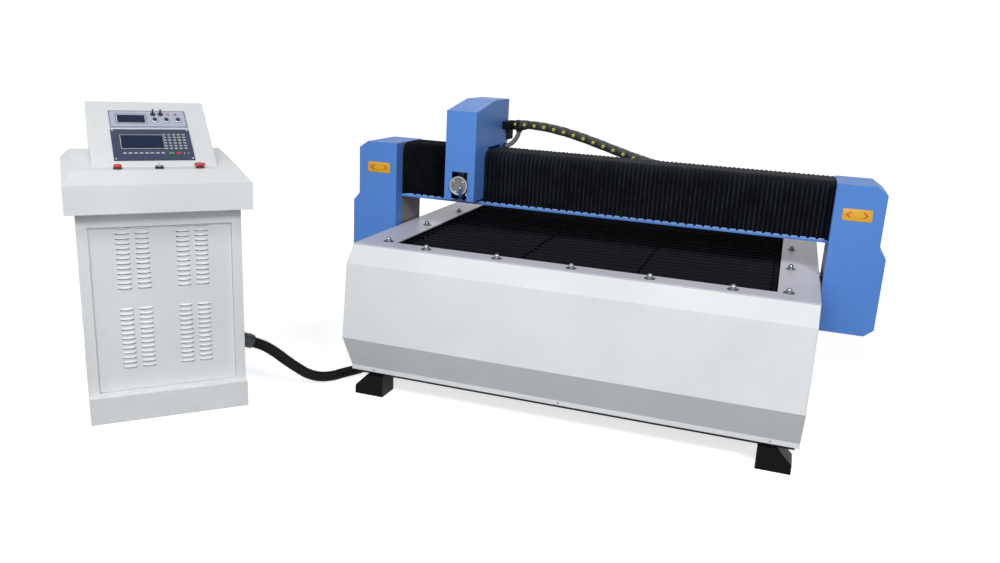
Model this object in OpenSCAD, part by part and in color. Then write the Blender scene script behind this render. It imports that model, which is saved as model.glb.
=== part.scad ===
// CNC plasma table: slat bed, travelling gantry with a torch head, and a control console beside it.
// Millimetres. X runs along the gantry, Y along the table away from the operator, Z up from the floor.

/* [Placement] */
// Centre line of the table from the origin
table_x = 475; // [300:1:700]
// Front top edge of the table from the origin
table_y = -1232; // [-1500:1:-1000]
// Middle of the console's front from the table's centre line
console_x = -1524; // [-1900:1:-1500]
// Middle of the console's front from the table's front edge
console_y = -562; // [-900:1:-500]
// Turn of the console towards the operator
console_turn = 45.5; // [30:0.5:60]
// Gantry columns from the table's front edge, as parked
gantry_y = 449; // [400:1:900]
// Torch head from the table's left side, as parked
head_in = 333; // [300:1:420]

/* [Table] */
// Width over the side panels
table_w = 1950; // [1850:10:2200]
// Length along the top edges
table_l = 3200; // [3000:10:4000]
// Height of the rims above the floor
table_h = 703; // [680:1:760]
// Width of the side rims
side_rim = 160; // [140:1:220]
// Depth of the front and rear rims
end_rim = 97; // [92:1:120]
// Rim plate thickness
rim_t = 6; // [4:1:10]
// Panel sheet thickness
panel_t = 2; // [1.5:0.5:3]
// Upper fold of the end panels: distance out, and below the rims
fold_up = [64, 77]; // [20:1:120]
// Middle fold of the end panels: distance out, and below the rims
fold_mid = [103, 409]; // [50:1:440]
// Lower fold of the end panels: distance out and height
fold_low = [11, 138]; // [0:1:800]
// Bottom edge of the panels above the floor
panel_z = 116; // [110:1:130]
// Top of the side panels below the rims, clear of the drive racks
side_panel_h = 218; // [213:1:263]
// Dome nut width and height
nut = [32, 21]; // [10:1:40]
// Number of nuts along the front rim
front_nuts = 5; // [3:1:9]
// Distance between the nuts of the front rim
front_nut_step = 325; // [150:5:350]
// Number of nuts along a side rim
side_nuts = 8; // [4:1:10]
// First side nut from the table's end
side_nut_y = 106; // [60:1:200]
// Side nuts from the bed opening
side_nut_in = 43; // [20:1:60]

/* [Frame] */
// Side beam width and height
side_beam = [98, 180]; // [60:1:200]
// Frame tube wall
tube_wall = 6; // [4:1:8]
// Frame face back from the side panels
rail_recess = 15; // [13:1:18]
// Frame ends back from the end panels' top edges
frame_in = 6; // [4:1:12]
// Depth and height of the end channels
end_channel = [80, 80]; // [60:1:84]
// Foot width, depth and height
foot = [137, 114, 100]; // [60:1:180]
// Foot outer edge back from the table's side
foot_in = 18; // [0:1:60]
// Upright part of the foot's outer edge
foot_side_h = 40; // [20:1:80]
// How far the foot's outer edge leans in
foot_lean = 59; // [20:1:80]

/* [Bed] */
// Slat thickness and height
slat = [4, 70]; // [3:1:90]
// Distance from slat to slat
slat_step = 60; // [40:1:100]
// Slat tops below the rims
slat_drop = 13; // [8:1:30]
// Slat holder thickness
holder_t = 6; // [4:1:10]
// Outer slat holders from the edge of the bed opening
holder_in = 25; // [15:1:60]
// Inner slat holders from the centre line, as a share of the bed's width
holder_mid = 0.1552; // [0.12:0.0001:0.2]
// Tray sheet thickness
tray_t = 3; // [2:1:5]
// Tray floor below the slats
tray_drop = 60; // [50:1:66]
// Tray wall height
tray_wall_h = 50; // [30:1:58]
// Bearer height under the tray
bearer_h = 40; // [30:1:40]
// Bearer width
bearer_w = 60; // [40:1:80]
// Number of bearers
bearers = 5; // [3:1:7]

/* [Drive] */
// Linear rail width and height
rail = [20, 17.5]; // [15:0.5:25]
// Bearing block length, width and height over the rail's base
block = [76, 44, 30]; // [24:1:80]
// Bearing blocks of the gantry, each side of its middle
block_y = 90; // [60:1:95]
// Side rails below the rims
rail_drop = 63; // [40:1:80]
// Rails short of the table's ends
rail_in = 150; // [120:1:180]
// Gear module of racks and pinions
gear_m = 4; // [3:0.5:4]
// Teeth of a pinion
pinion_teeth = 14; // [12:1:16]
// Rack thickness behind its teeth
rack_body = 20; // [14:1:24]
// Rack face width
rack_w = 18; // [12:1:20]
// Side rack's pitch line below the rims
rack_drop = 131; // [120:1:140]
// Drive motor body width and length
motor = [86, 120]; // [60:1:140]
// Pinion shaft radius
shaft_r = 8; // [6:0.5:10]
// Running clearance of shafts and slides
run_gap = 0.05; // [0.03:0.01:0.08]
// Clearance between pieces that pass each other
pass_gap = 0.5; // [0.3:0.1:0.8]

/* [Gantry] */
// Columns from the table's sides
col_gap = 15; // [12:1:25]
// Column depth
col_d = 286; // [270:1:330]
// Column width: upper part and lower part
col_w = [198, 228]; // [160:1:260]
// Column top and bottom from the rims
col_z = [396, -233]; // [-260:1:500]
// Column top chamfer: across and down
col_top_cut = [45, 31]; // [10:1:60]
// Column step above the rims: upper end and lower end
col_step_z = [140, 104]; // [80:1:200]
// Column bottom chamfer: across and up
col_foot_cut = [36, 31]; // [10:1:60]
// Cover sheet thickness
cover_t = 2; // [1.5:0.5:3]
// Inner lip of the column covers
col_lip = 66; // [50:1:75]
// Side plate thickness
plate_t = 15; // [12:1:20]
// Side plate's lower edge from the rims
plate_z = -208; // [-228:1:-203]
// Beam front from the column front, and its depth
beam_y = [151, 118]; // [100:1:160]
// Beam bottom and top above the rims
beam_z = [143, 359]; // [137:1:367]
// Beam wall
beam_wall = 6; // [4:1:8]
// Beam flange thickness
flange_t = 8; // [6:1:10]
// Beam flange front from the column front
flange_y = 60; // [50:1:75]
// Beam rails from the beam's bottom and top
beam_rail_in = 40; // [30:1:50]
// Bellows front and back from the column front
bellows_y = [66, 282]; // [60:1:284]
// Bellows bottom and top above the rims
bellows_z = [145, 396]; // [144:1:402]
// Bellows back edge above the rims
bellows_back_z = 347; // [317:1:367]
// Bellows front and back shoulder radius
bellows_r = [56, 14]; // [10:1:70]
// Pleat depth
pleat_d = 10; // [6:1:10]
// Pleats on each side
pleats = 40; // [30:1:52]
// Bellows cloth thickness
cloth_t = 1.2; // [0.8:0.1:2]
// Chain link pitch
link_pitch = 50; // [40:1:60]
// Chain height and width
link = [38, 56]; // [30:1:60]
// Chain side plate thickness
link_t = 4; // [3:0.5:5]
// Chain centre from the column front
chain_y = 441; // [436:1:480]
// Chain ends above the rims, at the head and on the tray
chain_z = [495, 333]; // [297:1:517]
// Chain's fixed end from the table's centre line
chain_end_x = 380; // [300:1:420]
// Chain tray thickness
chain_tray_t = 4; // [3:1:6]
// Chain tray's rear lip height
chain_tray_lip = 26; // [15:1:40]

/* [Torch head] */
// Head cover width
head_w = 147; // [140:1:160]
// Head cover's front and back from the column front
head_y = [-55, 401]; // [-70:1:402]
// Head cover bottom, front top and roof above the rims
head_z = [164, 574, 619]; // [157:1:637]
// Where the roof levels out, from the column front
roof_y = 199; // [150:1:260]
// Height of the overhang's underside above the rims
overhang_z = 403; // [401:1:409]
// Head cover's tail: behind the bellows, and its lower edge above the rims
head_tail = [8, 377]; // [4:1:390]
// Torch opening width, and its top above the rims
torch_hole = [76, 297]; // [60:1:307]
// Carriage plate front from the column front
carriage_y = 106; // [104:1:107]
// Bridge plate thickness
bridge_t = 12; // [10:1:14]
// Length of the carriage bearing blocks
car_block_l = 56; // [40:1:60]
// Carriage bearing blocks each side of the head's middle
car_block_x = 36; // [32:1:40]
// Lift frame width and plate thickness
lift = [110, 12]; // [10:1:120]
// Lift frame bottom and top above the rims
lift_z = [172, 522]; // [167:1:527]
// Lift rods and screw from the column front
lift_y = 66; // [62:1:70]
// Lift rod radius
rod_r = 8; // [6:0.5:10]
// Lift rods each side of the middle
rod_x = 36; // [30:1:40]
// Lift motor body width and height
lift_motor_size = [57, 56]; // [42:1:60]
// Slide block bottom above the rims and its height
slide_z = [347, 60]; // [50:1:357]
// Slide block depth
slide_d = 46; // [40:1:50]
// Torch arm thickness
arm_t = 14; // [10:1:16]
// Torch arm width
arm_w = 80; // [60:1:90]
// Torch centre from the column front
torch_y = -9; // [-12:1:-6]
// Torch radius
torch_r = 17; // [14:0.5:19]
// Torch top and nozzle tip above the rims
torch_z = [392, 165]; // [165:1:397]
// Nozzle height
nozzle_h = 37; // [25:1:45]
// Nozzle tip radius
nozzle_r = 8; // [5:0.5:10]
// Clamp outer radius
clamp_r = 30; // [26:0.5:31]
// Clamp bottom above the rims and its height
clamp_z = [209, 52]; // [30:1:227]
// Round clamp face radius and thickness
clamp_face = [44, 10]; // [6:1:46]
// Conduit outer radius on the head
conduit_r = 8; // [6:0.5:9]
// Conduit ribs
conduit_ribs = 20; // [12:1:30]

/* [Console] */
// Plinth width, depth and height
plinth = [622, 560, 113]; // [100:1:700]
// Cabinet width, front and back from the plinth's front
cabinet = [620, 35, 545]; // [30:1:640]
// Desk width, front and back from the plinth's front
desk = [693, -44, 560]; // [-60:1:760]
// Desk bottom, edge and fold above the floor
desk_z = [877, 989, 1031]; // [840:1:1060]
// Desk slope depth at the front and bevel width at the sides
desk_slope = [102, 38]; // [20:1:160]
// Rise of the desk top from the fold to the back
desk_rise = 23; // [0:1:40]
// Rise of the desk's side edges from front to back
desk_edge_rise = 30; // [0:1:36]
// Console sheet thickness
shell_t = 2; // [1.5:0.5:3]
// Louvre panel width and height
louvre_panel_size = [536, 686]; // [400:1:700]
// Louvre panel bottom above the floor
louvre_panel_z = 121; // [117:1:140]
// Louvre panel recess behind the posts
louvre_recess = 12; // [6:1:20]
// Louvre slot width and height
louvre = [50, 7]; // [5:1:60]
// Louvres in a block and their step
louvre_rows = 13; // [6:1:13]
// Distance between louvres, as a share of the panel's height
louvre_step_share = 0.0299; // [0.025:0.0001:0.0299]
// Lowest louvre of the two blocks above the panel's bottom, as a share of its height
louvre_block_share = [0.143, 0.633]; // [0.1:0.001:0.65]
// Louvre columns from the centre line
louvre_x = [-148, -75, 78, 151]; // [-200:1:200]
// Hood width
hood_w = 470; // [420:1:560]
// Hood top and its back above and behind
hood_top = [1256, 546]; // [520:1:1300]
// Foot of the face's slope: behind the desk's front and above the desk's edge
face_foot = [138, 37]; // [30:1:150]
// Slope length of the hood's face
face_l = 465; // [455:1:480]
// Controller width and height
controller = [306, 208]; // [150:1:330]
// Controller's lower edge up the face
controller_v = 57; // [50:1:62]
// Height panel width and height
height_panel_size = [306, 120]; // [90:1:330]
// Height panel's lower edge up the face
height_panel_v = 280; // [272:1:300]
// Panel plates proud of the face
panel_proud = 5; // [3:0.5:8]
// Depth of the boxes behind the panels
panel_box_d = 60; // [40:1:80]
// Panel plate edge round the box behind it
panel_edge = 14; // [8:1:25]
// Controller screen: left edge, lower edge, width and height
lcd = [-131, 79, 173, 92]; // [-140:1:180]
// Height screen: left edge, lower edge, width and height
height_lcd = [-119, 33, 106, 54]; // [-130:1:120]
// Screen glass thickness
glass_t = 2; // [1:0.5:3]
// Keypad: left edge, lower edge, columns and rows
keypad_at = [43, 66, 5, 6]; // [1:1:80]
// Keypad key width, height and step across and up
key = [15, 13, 19, 19]; // [8:1:24]
// Soft keys: left edge, lower edge and number
soft_keys = [-117, 36, 8]; // [-130:1:60]
// Key film height
key_t = 1.2; // [0.6:0.2:2]
// Start and stop key places across the controller and up
run_key_x = [67, 94]; // [60:1:110]
// Start and stop key middles above the controller's lower edge
run_key_v = 42; // [36:1:46]
// Start and stop key width, height and thickness
run_key = [20, 12, 4]; // [2:1:24]
// Toggle places across the height panel and up
toggle_x = [22, 52]; // [15:1:60]
// Toggle middles above the height panel's lower edge
toggle_v = 91; // [85:1:100]
// Toggle bush radius, lever radius and lever length
toggle = [8, 4, 24]; // [2:0.5:28]
// Lamp places across the height panel
lamp_x = [82, 112]; // [75:1:125]
// Lamp radius
lamp_r = 5; // [3:0.5:7]
// Knob places across the height panel
knob_x = [26, 72, 118]; // [20:1:130]
// Knob middles above the height panel's lower edge
knob_v = 46; // [40:1:55]
// Knob radius and height
knob = [10, 14]; // [6:1:20]
// Switch places across the ledge before the face: push button, selector, emergency stop
switch_x = [-145, 8, 162]; // [-180:1:180]
// Switch collar radius and height
collar = [16, 5]; // [4:1:20]
// Switch stem radius
stem_r = 10; // [8:0.5:11]
// Emergency stop mushroom radius
mushroom_r = 21.5; // [16:0.5:22]
// Travel of the pressed buttons
press = 3; // [2:0.5:4]
// Conduit gland height above the floor and place behind the plinth's front
gland_at = [282, 80]; // [70:1:320]
// Conduit gland radius and length
gland = [30, 46]; // [20:1:60]
// Downward tilt of the console's gland
gland_tilt = 25; // [15:1:30]

/* [Conduit] */
// Conduit outer diameter
hose_d = 48; // [32:1:50]
// Conduit bore diameter
hose_bore = 32; // [16:1:34]
// Depth of the grooves between the conduit's ribs
rib_d = 4; // [2:0.5:5]
// Ribs along the conduit
hose_ribs = 66; // [40:1:80]

/* [Hidden] */
$fn = 48;
eps = 0.01;
// Running points of the conduit between its two glands: place from the table's front centre, and
// height above where it lies on the floor
hose_middle = [
    [-1270, -185, 180], [-1240, -140, 130], [-1215, -95, 85], [-1190, -45, 42], [-1160, 10, 12],
    [-1125, 70, 0], [-1095, 130, 0], [-1060, 195, 0], [-1030, 260, 4], [-1000, 325, 11], [-970, 385, 18]];
// Middle of the table's gland bracket and the way the conduit runs into it
table_gland_in = 70;
table_gland = [table_gland_in - table_w / 2, 500, 45];
hose_heading = 60;
gland_plate = [90, 8];
hose_sides = 8;
// Heights of the gantry and the head above the floor, from the rims
function over_rims(v) = [for (z = v) table_h + z];
side_panel_top = table_h - side_panel_h;
col_at = over_rims(col_z);
col_step_at = over_rims(col_step_z);
plate_at = table_h + plate_z;
beam_at = over_rims(beam_z);
bellows_at = over_rims(bellows_z);
bellows_back_at = table_h + bellows_back_z;
chain_at = over_rims(chain_z);
head_at = over_rims(head_z);
overhang_at = table_h + overhang_z;
tail_y = bellows_y[1] + head_tail[0];
tail_at = table_h + head_tail[1];
lift_at = over_rims(lift_z);
slide_at = [table_h + slide_z[0], slide_z[1]];
torch_at = over_rims(torch_z);
clamp_at = [table_h + clamp_z[0], clamp_z[1]];
head_x = head_in - table_w / 2;
bed_w = table_w - 2 * side_rim;
holder_mid_x = holder_mid * bed_w;
louvre_step = louvre_step_share * louvre_panel_size[1];
louvre_block_z = louvre_block_share * louvre_panel_size[1];
frame_x = table_w / 2 - rail_recess;
frame_z = foot[2];
beam_top = table_h - rim_t;
beam_base = beam_top - side_beam[1];
inner_x = frame_x - side_beam[0];
// Root gap between the welded members of the frame, and the length of the cross members
weld_gap = 0.3;
cross_l = 2 * (inner_x - weld_gap);
slat_top = table_h - slat_drop;
slat_z = slat_top - slat[1];
slat_end = 5;
tray_z = slat_z - tray_drop;
tray_side = 6;
tray_x = inner_x - tray_side;
tray_y = frame_in + end_channel[0] + tray_side;
bed_l = table_l - 2 * end_rim;
holder_x = [-bed_w / 2 + holder_in, -holder_mid_x, holder_mid_x, bed_w / 2 - holder_in];
slats_n = floor(bed_l / slat_step) - 1;
slat_y0 = table_l / 2 - slat_step * (slats_n - 1) / 2;
foot_front = 18;
closer_in = 12;
rail_z = table_h - rail_drop;
rail_base = 3.5;
rack_z = table_h - rack_drop;
pitch_r = gear_m * pinion_teeth / 2;
tooth_step = PI * gear_m;
pinion_gap = 3;
pinion_y = col_d / 2;
pinion_z = rack_z - pitch_r;
shaft_in = 40;
shaft_hole_r = shaft_r + 4;
col_x = table_w / 2 + col_gap;
beam_back = beam_y[0] + beam_y[1];
beam_rail_end = 30;
beam_rack_w = 14;
beam_rack_back = 17;
beam_rack_y = beam_back - beam_rack_back - rack_body - 1.25 * gear_m;
car_pinion_y = beam_rack_y - pitch_r;
car_pinion_in = 2;
beam_rail_z = [beam_at[0] + beam_rail_in, beam_at[1] - beam_rail_in];
carriage_back = beam_y[0] - block[2];
carriage_z = head_at[0] + 5;
head_side = head_w / 2;
lift_depth = 29;
lift_foot_depth = 18;
screw_end = 1;
screw_tail = [5, 36];
slide_w = 104;
arm_drop = 7;
arm_z = clamp_at[0] - arm_drop;
clamp_neck_w = 40;
clamp_face_gap = 3;
bracket_t = 6;
bracket_l = 84;
bracket_drop = 58;
bracket_in = 20;
chain_seat = 0.3;
chain_start_x = head_x + head_side + 30;
links = floor((chain_end_x - chain_start_x) / link_pitch);
conduit_from = [60, 400];
conduit_over = 389;
conduit_to = [350, table_h + conduit_over];
conduit_bore = 4.5;
conduit_sides = 10;
face_y = desk[1] + face_foot[0];
face_z = desk_z[1] + face_foot[1];
face_tilt = asin((hood_top[0] - face_z) / face_l);
face_run = face_l * cos(face_tilt);
fold_y = desk[1] + desk_slope[0];
top_rise = desk_rise / (desk[2] - fold_y);
function desk_top(y) = desk_z[2] + top_rise * (y - fold_y);
hood_foot = face_y + (desk_top(face_y) - face_z) / (tan(face_tilt) - top_rise);
hood_back_z = desk_top(hood_top[1]);
ledge_y = (fold_y + hood_foot) / 2;
frame_gap = 2;
desk_hole_in = shell_t + 3;
jamb_flange = 12;
switch_body = [13, 28];
switch_hole_gap = 0.3;
cap_gap = 0.6;
pocket_gap = 0.3;
key_rest = 1.8;
pin_r = 1.5;
knob_shaft = [3, 8];
// Mounting plate in the cabinet: width, height and thickness; units on it: left edge, lower edge, width,
// height and depth
mount_plate = [500, 580, 6];
mount_plate_z = 200;
units = [
    [-230, 560, 200, 170, 110], [10, 560, 220, 170, 130], [-230, 300, 130, 210, 120], [-60, 300, 130, 210, 120],
    [110, 300, 120, 210, 90]];

// Frames of the table, the gantry, the head, the console and its sloping face
module at_table() translate([table_x, table_y, 0]) children();
module at_gantry() translate([table_x, table_y + gantry_y, 0]) children();
module at_head() translate([table_x + head_x, table_y + gantry_y, 0]) children();
module at_console() at_table() translate([console_x, console_y, 0]) rotate(console_turn) children();
module face_frame(v = 0)
    translate([0, face_y, face_z]) rotate([face_tilt, 0, 0]) translate([0, v, 0]) children();
module on_face(v = 0) at_console() face_frame(v) children();
module switch_frame(i)
    translate([switch_x[i], ledge_y, desk_top(ledge_y)]) rotate([atan(top_rise), 0, 0]) children();
module both_sides() {
    children();
    mirror([1, 0, 0]) children();
}
module both_ends() {
    children();
    translate([0, table_l, 0]) mirror([0, 1, 0]) children();
}

// Outlines in the YZ and XZ planes drawn out along X and Y, boxes between two corners, upright bars
module along_x(x0, x1) translate([x0, 0, 0]) rotate([90, 0, 90]) linear_extrude(x1 - x0) children();
module along_y(y0, y1) translate([0, y1, 0]) rotate([90, 0, 0]) linear_extrude(y1 - y0) children();
module box(a, b) translate(a) cube(b - a);
module bar_z(r, z0, z1) translate([0, 0, z0]) cylinder(r = r, h = z1 - z0);
module bar_x(r, x0, x1) translate([x0, 0, 0]) rotate([0, 90, 0]) cylinder(r = r, h = x1 - x0);

// Sheet outlines: a polyline and its parallel at thickness t on the left
function unit(v) = v / norm(v);
function left_of(v) = [-v[1], v[0]];
function side_dir(p, i) = left_of(unit(p[min(i + 1, len(p) - 1)] - p[min(i, len(p) - 2)]));
function offset_at(p, i, t) =
    let (a = side_dir(p, max(i - 1, 0)), b = side_dir(p, i))
    p[i] + (a + b) * t / (1 + a * b);
function parallel(p, t) = [for (i = [0:len(p) - 1]) offset_at(p, i, t)];
function reversed(p) = [for (i = [len(p) - 1:-1:0]) p[i]];
function sheet(p, t) = concat(p, reversed(parallel(p, t)));
function arc(c, r, a0, a1, n) =
    [for (i = [0:n]) c + r * [cos(a0 + (a1 - a0) * i / n), sin(a0 + (a1 - a0) * i / n)]];
// Inside of a shell whose open edge is at the polyline's ends, carried d beyond that edge
function shell_inside(p, t, d) =
    let (q = parallel(p, -t), e = len(q) - 1)
    concat([[q[0][0], q[0][1] - d]], q, [[q[e][0], q[e][1] - d]]);

// Gear teeth: straight flanks, thinned for backlash
flank = tan(20);
tooth_t = 0.36 * tooth_step;
tooth_h = 0.8 * gear_m;
root_d = 1.25 * gear_m;
function rack_tooth(c) = [
    [c - tooth_t / 2 - root_d * flank, root_d], [c - tooth_t / 2 + tooth_h * flank, -tooth_h],
    [c + tooth_t / 2 - tooth_h * flank, -tooth_h], [c + tooth_t / 2 + root_d * flank, root_d]];
function rack_outline(from, to, gap_at) =
    let (first = ceil((from + tooth_step - gap_at) / tooth_step),
        last = floor((to - tooth_step - gap_at) / tooth_step))
    concat([[from, root_d + rack_body], [from, root_d]],
        [for (i = [first:last - 1]) for (p = rack_tooth(gap_at + tooth_step * (i + 0.5))) p],
        [[to, root_d], [to, root_d + rack_body]]);
function polar(r, a) = [r * sin(a), r * cos(a)];
function pinion_tooth(a) =
    let (root = pitch_r - root_d, tip = pitch_r + tooth_h,
        wide = atan((tooth_t / 2 + root_d * flank) / root),
        slim = atan((tooth_t / 2 - tooth_h * flank) / tip))
    [polar(root, a - wide), polar(tip, a - slim), polar(tip, a + slim), polar(root, a + wide)];
pinion_outline = [for (i = [0:pinion_teeth - 1]) for (p = pinion_tooth(360 / pinion_teeth * i)) p];

// A skin through equal rings of points, closed by bands at both ends; each ring is an outer row
// followed by its inner row in reverse
function ring_faces(rings, n) = [
    for (j = [0:rings - 2]) for (k = [0:n - 1])
        let (a = j * n + k, b = j * n + (k + 1) % n, c = a + n, d = b + n)
        for (f = [[a, b, d], [a, d, c]]) f];
function band(base, n, flip) = [
    for (k = [0:n / 2 - 2])
        let (a = base + k, b = base + k + 1, c = base + n - 2 - k, d = base + n - 1 - k)
        for (f = flip ? [[a, c, b], [a, d, c]] : [[a, b, c], [a, c, d]]) f];
module skin(rings) {
    n = len(rings[0]);
    last = len(rings) - 1;
    polyhedron([for (r = rings) for (p = r) p],
        concat(ring_faces(len(rings), n), band(0, n, true), band(last * n, n, false)));
}
// A bored tube swept along points, with one outer radius per point; its wall is one closed surface
function run_dir(p, i) = unit(p[min(i + 1, len(p) - 1)] - p[max(i - 1, 0)]);
function across(d) = unit(cross(d, abs(d[2]) > 0.95 ? [0, 1, 0] : [0, 0, 1]));
function circle_at(c, d, r, n) =
    let (s = across(d), u = cross(s, d))
    [for (k = [0:n - 1]) c + r * (cos(360 * k / n) * s + sin(360 * k / n) * u)];
function tube_faces(rings, n) = concat(
    [for (j = [0:2 * rings - 1]) for (k = [0:n - 1])
        let (e = (j + 1) % (2 * rings), a = j * n + k, b = j * n + (k + 1) % n,
            c = e * n + k, d = e * n + (k + 1) % n)
        for (f = [[a, b, d], [a, d, c]]) f]);
module tube(p, dirs, radii, bore, n) {
    last = len(p) - 1;
    outer = [for (i = [0:last]) circle_at(p[i], dirs[i], radii[i], n)];
    inner = [for (i = [last:-1:0]) circle_at(p[i], dirs[i], bore, n)];
    polyhedron([for (r = concat(outer, inner)) for (q = r) q], tube_faces(last + 1, n));
}

// Table
end_profile = [
    [frame_in, beam_top], [0, beam_top], [-fold_up[0], table_h - fold_up[1]], [-fold_mid[0], table_h - fold_mid[1]],
    [-fold_low[0], fold_low[1]], [-fold_low[0], panel_z], [frame_in, panel_z]];

module channel(w, h, l) linear_extrude(l) difference() {
    square([w, h]);
    translate([tube_wall, tube_wall]) square([w, h - 2 * tube_wall]);
}

module table_frame() color("dimgray") at_table() {
    both_sides() {
        along_y(frame_in, table_l - frame_in) difference() {
            translate([inner_x, beam_base]) square(side_beam);
            translate([inner_x + tube_wall, beam_base + tube_wall])
                square(side_beam - 2 * [tube_wall, tube_wall]);
        }
        translate([frame_x, table_l - frame_in, frame_z]) rotate([90, 0, 0]) mirror([1, 0, 0])
            channel(side_beam[0], end_channel[1], table_l - 2 * frame_in);
        both_ends() translate([frame_x, frame_in, frame_z + end_channel[1] + weld_gap]) mirror([1, 0, 0])
            channel(side_beam[0], side_beam[0], beam_base - frame_z - end_channel[1] - 2 * weld_gap);
    }
    both_ends() for (z = [frame_z, beam_top - end_channel[1]])
        translate([-cross_l / 2, frame_in, z]) rotate([90, 0, 90])
            channel(end_channel[0], end_channel[1], cross_l);
    for (i = [0:bearers - 1])
        translate([-cross_l / 2, tray_y + (table_l - 2 * tray_y - bearer_w) * i / (bearers - 1),
            tray_z - tray_t - bearer_h]) rotate([90, 0, 90]) channel(bearer_w, bearer_h, cross_l);
}

module feet() color("#111111") at_table() both_sides() both_ends()
    along_y(frame_in - foot_front, frame_in - foot_front + foot[1])
        translate([table_w / 2 - foot_in, 0]) polygon([
            [-foot[0], 0], [0, 0], [0, foot_side_h], [-foot_lean, foot[2]], [-foot[0], foot[2]]]);

module end_panel() along_x(panel_t - table_w / 2, table_w / 2 - panel_t) polygon(sheet(end_profile, panel_t));
module front_panel() color("white") at_table() end_panel();
module rear_panel() color("white") at_table() translate([0, table_l, 0]) mirror([0, 1, 0]) end_panel();

module side_panels() color("white") at_table() both_sides() {
    front = [for (i = [1:5]) end_profile[i]];
    back = [for (p = reversed(front)) [table_l - p[0], p[1]]];
    along_x(table_w / 2 - panel_t, table_w / 2) polygon(concat(front, back, [
        [table_l - closer_in, beam_top], [table_l - closer_in, side_panel_top],
        [closer_in, side_panel_top], [closer_in, beam_top]]));
    for (z = [panel_z, side_panel_top - panel_t])
        box([frame_x, closer_in, z], [table_w / 2, table_l - closer_in, z + panel_t]);
}

module end_rims() color("gainsboro") at_table() both_ends()
    box([-table_w / 2, 0, beam_top], [table_w / 2, end_rim, table_h]);
module side_rims() color("gainsboro") at_table() both_sides()
    box([bed_w / 2, end_rim, beam_top], [table_w / 2, table_l - end_rim, table_h]);

module dome_nut() rotate_extrude() polygon(concat(
    [[0, 0], [nut[0] / 2, 0], [nut[0] / 2, nut[1] / 6], [nut[0] * 0.36, nut[1] / 5]],
    [for (a = [0:15:90]) [nut[0] * 0.36 * cos(a), nut[1] * (0.52 + 0.48 * sin(a))]]));
module rim_nuts() color("silver") at_table() translate([0, 0, table_h]) {
    both_ends() for (i = [0:front_nuts - 1])
        translate([front_nut_step * (i - (front_nuts - 1) / 2), end_rim / 2, 0]) dome_nut();
    both_sides() for (i = [0:side_nuts - 1])
        translate([bed_w / 2 + side_nut_in, side_nut_y + (table_l - 2 * side_nut_y) * i / (side_nuts - 1), 0])
            dome_nut();
}

slot_w = slat[0] + 2 * pass_gap;
holder_outline = concat([[end_rim, tray_z - eps], [end_rim, slat_top]],
    [for (i = [0:slats_n - 1]) let (y = slat_y0 + slat_step * i)
        for (p = [[y - slot_w / 2, slat_top], [y - slot_w / 2, slat_z],
            [y + slot_w / 2, slat_z], [y + slot_w / 2, slat_top]]) p],
    [[table_l - end_rim, slat_top], [table_l - end_rim, tray_z - eps]]);
module slag_tray() color("#333333") at_table() {
    difference() {
        box([-tray_x, tray_y, tray_z - tray_t], [tray_x, table_l - tray_y, tray_z + tray_wall_h]);
        box([tray_t - tray_x, tray_y + tray_t, tray_z],
            [tray_x - tray_t, table_l - tray_y - tray_t, tray_z + 2 * tray_wall_h]);
    }
    for (x = holder_x) along_x(x - holder_t / 2, x + holder_t / 2) polygon(holder_outline);
}
module slats() color("#2a2a2c") at_table() for (i = [0:slats_n - 1])
    translate([0, slat_y0 + slat_step * i, 0])
        box([slat_end - bed_w / 2, -slat[0] / 2, slat_z], [bed_w / 2 - slat_end, slat[0] / 2, slat_top]);

module side_rails() color("silver") at_table() both_sides()
    box([frame_x, rail_in, rail_z - rail[0] / 2], [frame_x + rail[1], table_l - rail_in, rail_z + rail[0] / 2]);
module side_racks() color("gray") at_table() both_sides() along_x(frame_x, frame_x + rack_w)
    translate([0, rack_z]) polygon(rack_outline(rail_in, table_l - rail_in, gantry_y + pinion_y));

// Conduit between console and table
gland_dir = [cos(gland_tilt), 0, -sin(gland_tilt)];
function turned(p, a) = [p[0] * cos(a) - p[1] * sin(a), p[0] * sin(a) + p[1] * cos(a), p[2]];
gland_base = [cabinet[0] / 2, gland_at[1], gland_at[0]];
console_at = [console_x, console_y, 0];
hose_start = console_at + turned(gland_base + gland[1] * gland_dir, console_turn);
start_dir = turned(gland_dir, console_turn);
end_dir = [cos(hose_heading), sin(hose_heading), 0];
hose_end = table_gland - (gland[1] + gland_plate[1] / 2) * end_dir;
hose_knots = concat([hose_start, hose_start + hose_d * start_dir],
    [for (p = hose_middle) p + [0, 0, hose_d / 2]], [hose_end - hose_d * end_dir, hose_end]);
hose_last = len(hose_knots) - 1;
function run_length(i) = i == 0 ? 0 : run_length(i - 1) + norm(hose_knots[i] - hose_knots[i - 1]);
hose_table = [for (i = [0:hose_last]) [run_length(i), i]];
// Straight in the first and last stretch, a smooth curve through the knots between them
function hose_at(u) =
    let (i = min(floor(u), hose_last - 1), f = u - i, a = hose_knots[i], b = hose_knots[i + 1])
    i == 0 || i == hose_last - 1 ? a + (b - a) * f :
    let (m = (b - hose_knots[i - 1]) / 2, n = (hose_knots[i + 2] - a) / 2)
    a * (2 * f ^ 3 - 3 * f ^ 2 + 1) + m * (f ^ 3 - 2 * f ^ 2 + f) + b * (3 * f ^ 2 - 2 * f ^ 3) + n * (f ^ 3 - f ^ 2);
hose_rings = 2 * hose_ribs;
hose_points = [for (i = [0:hose_rings]) hose_at(lookup(run_length(hose_last) * i / hose_rings, hose_table))];
hose_dirs = [for (i = [0:hose_rings]) i == 0 ? start_dir : i == hose_rings ? end_dir : run_dir(hose_points, i)];
hose_radii = [for (i = [0:hose_rings]) hose_d / 2 - (i % 2 == 0 ? rib_d : 0)];

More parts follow.
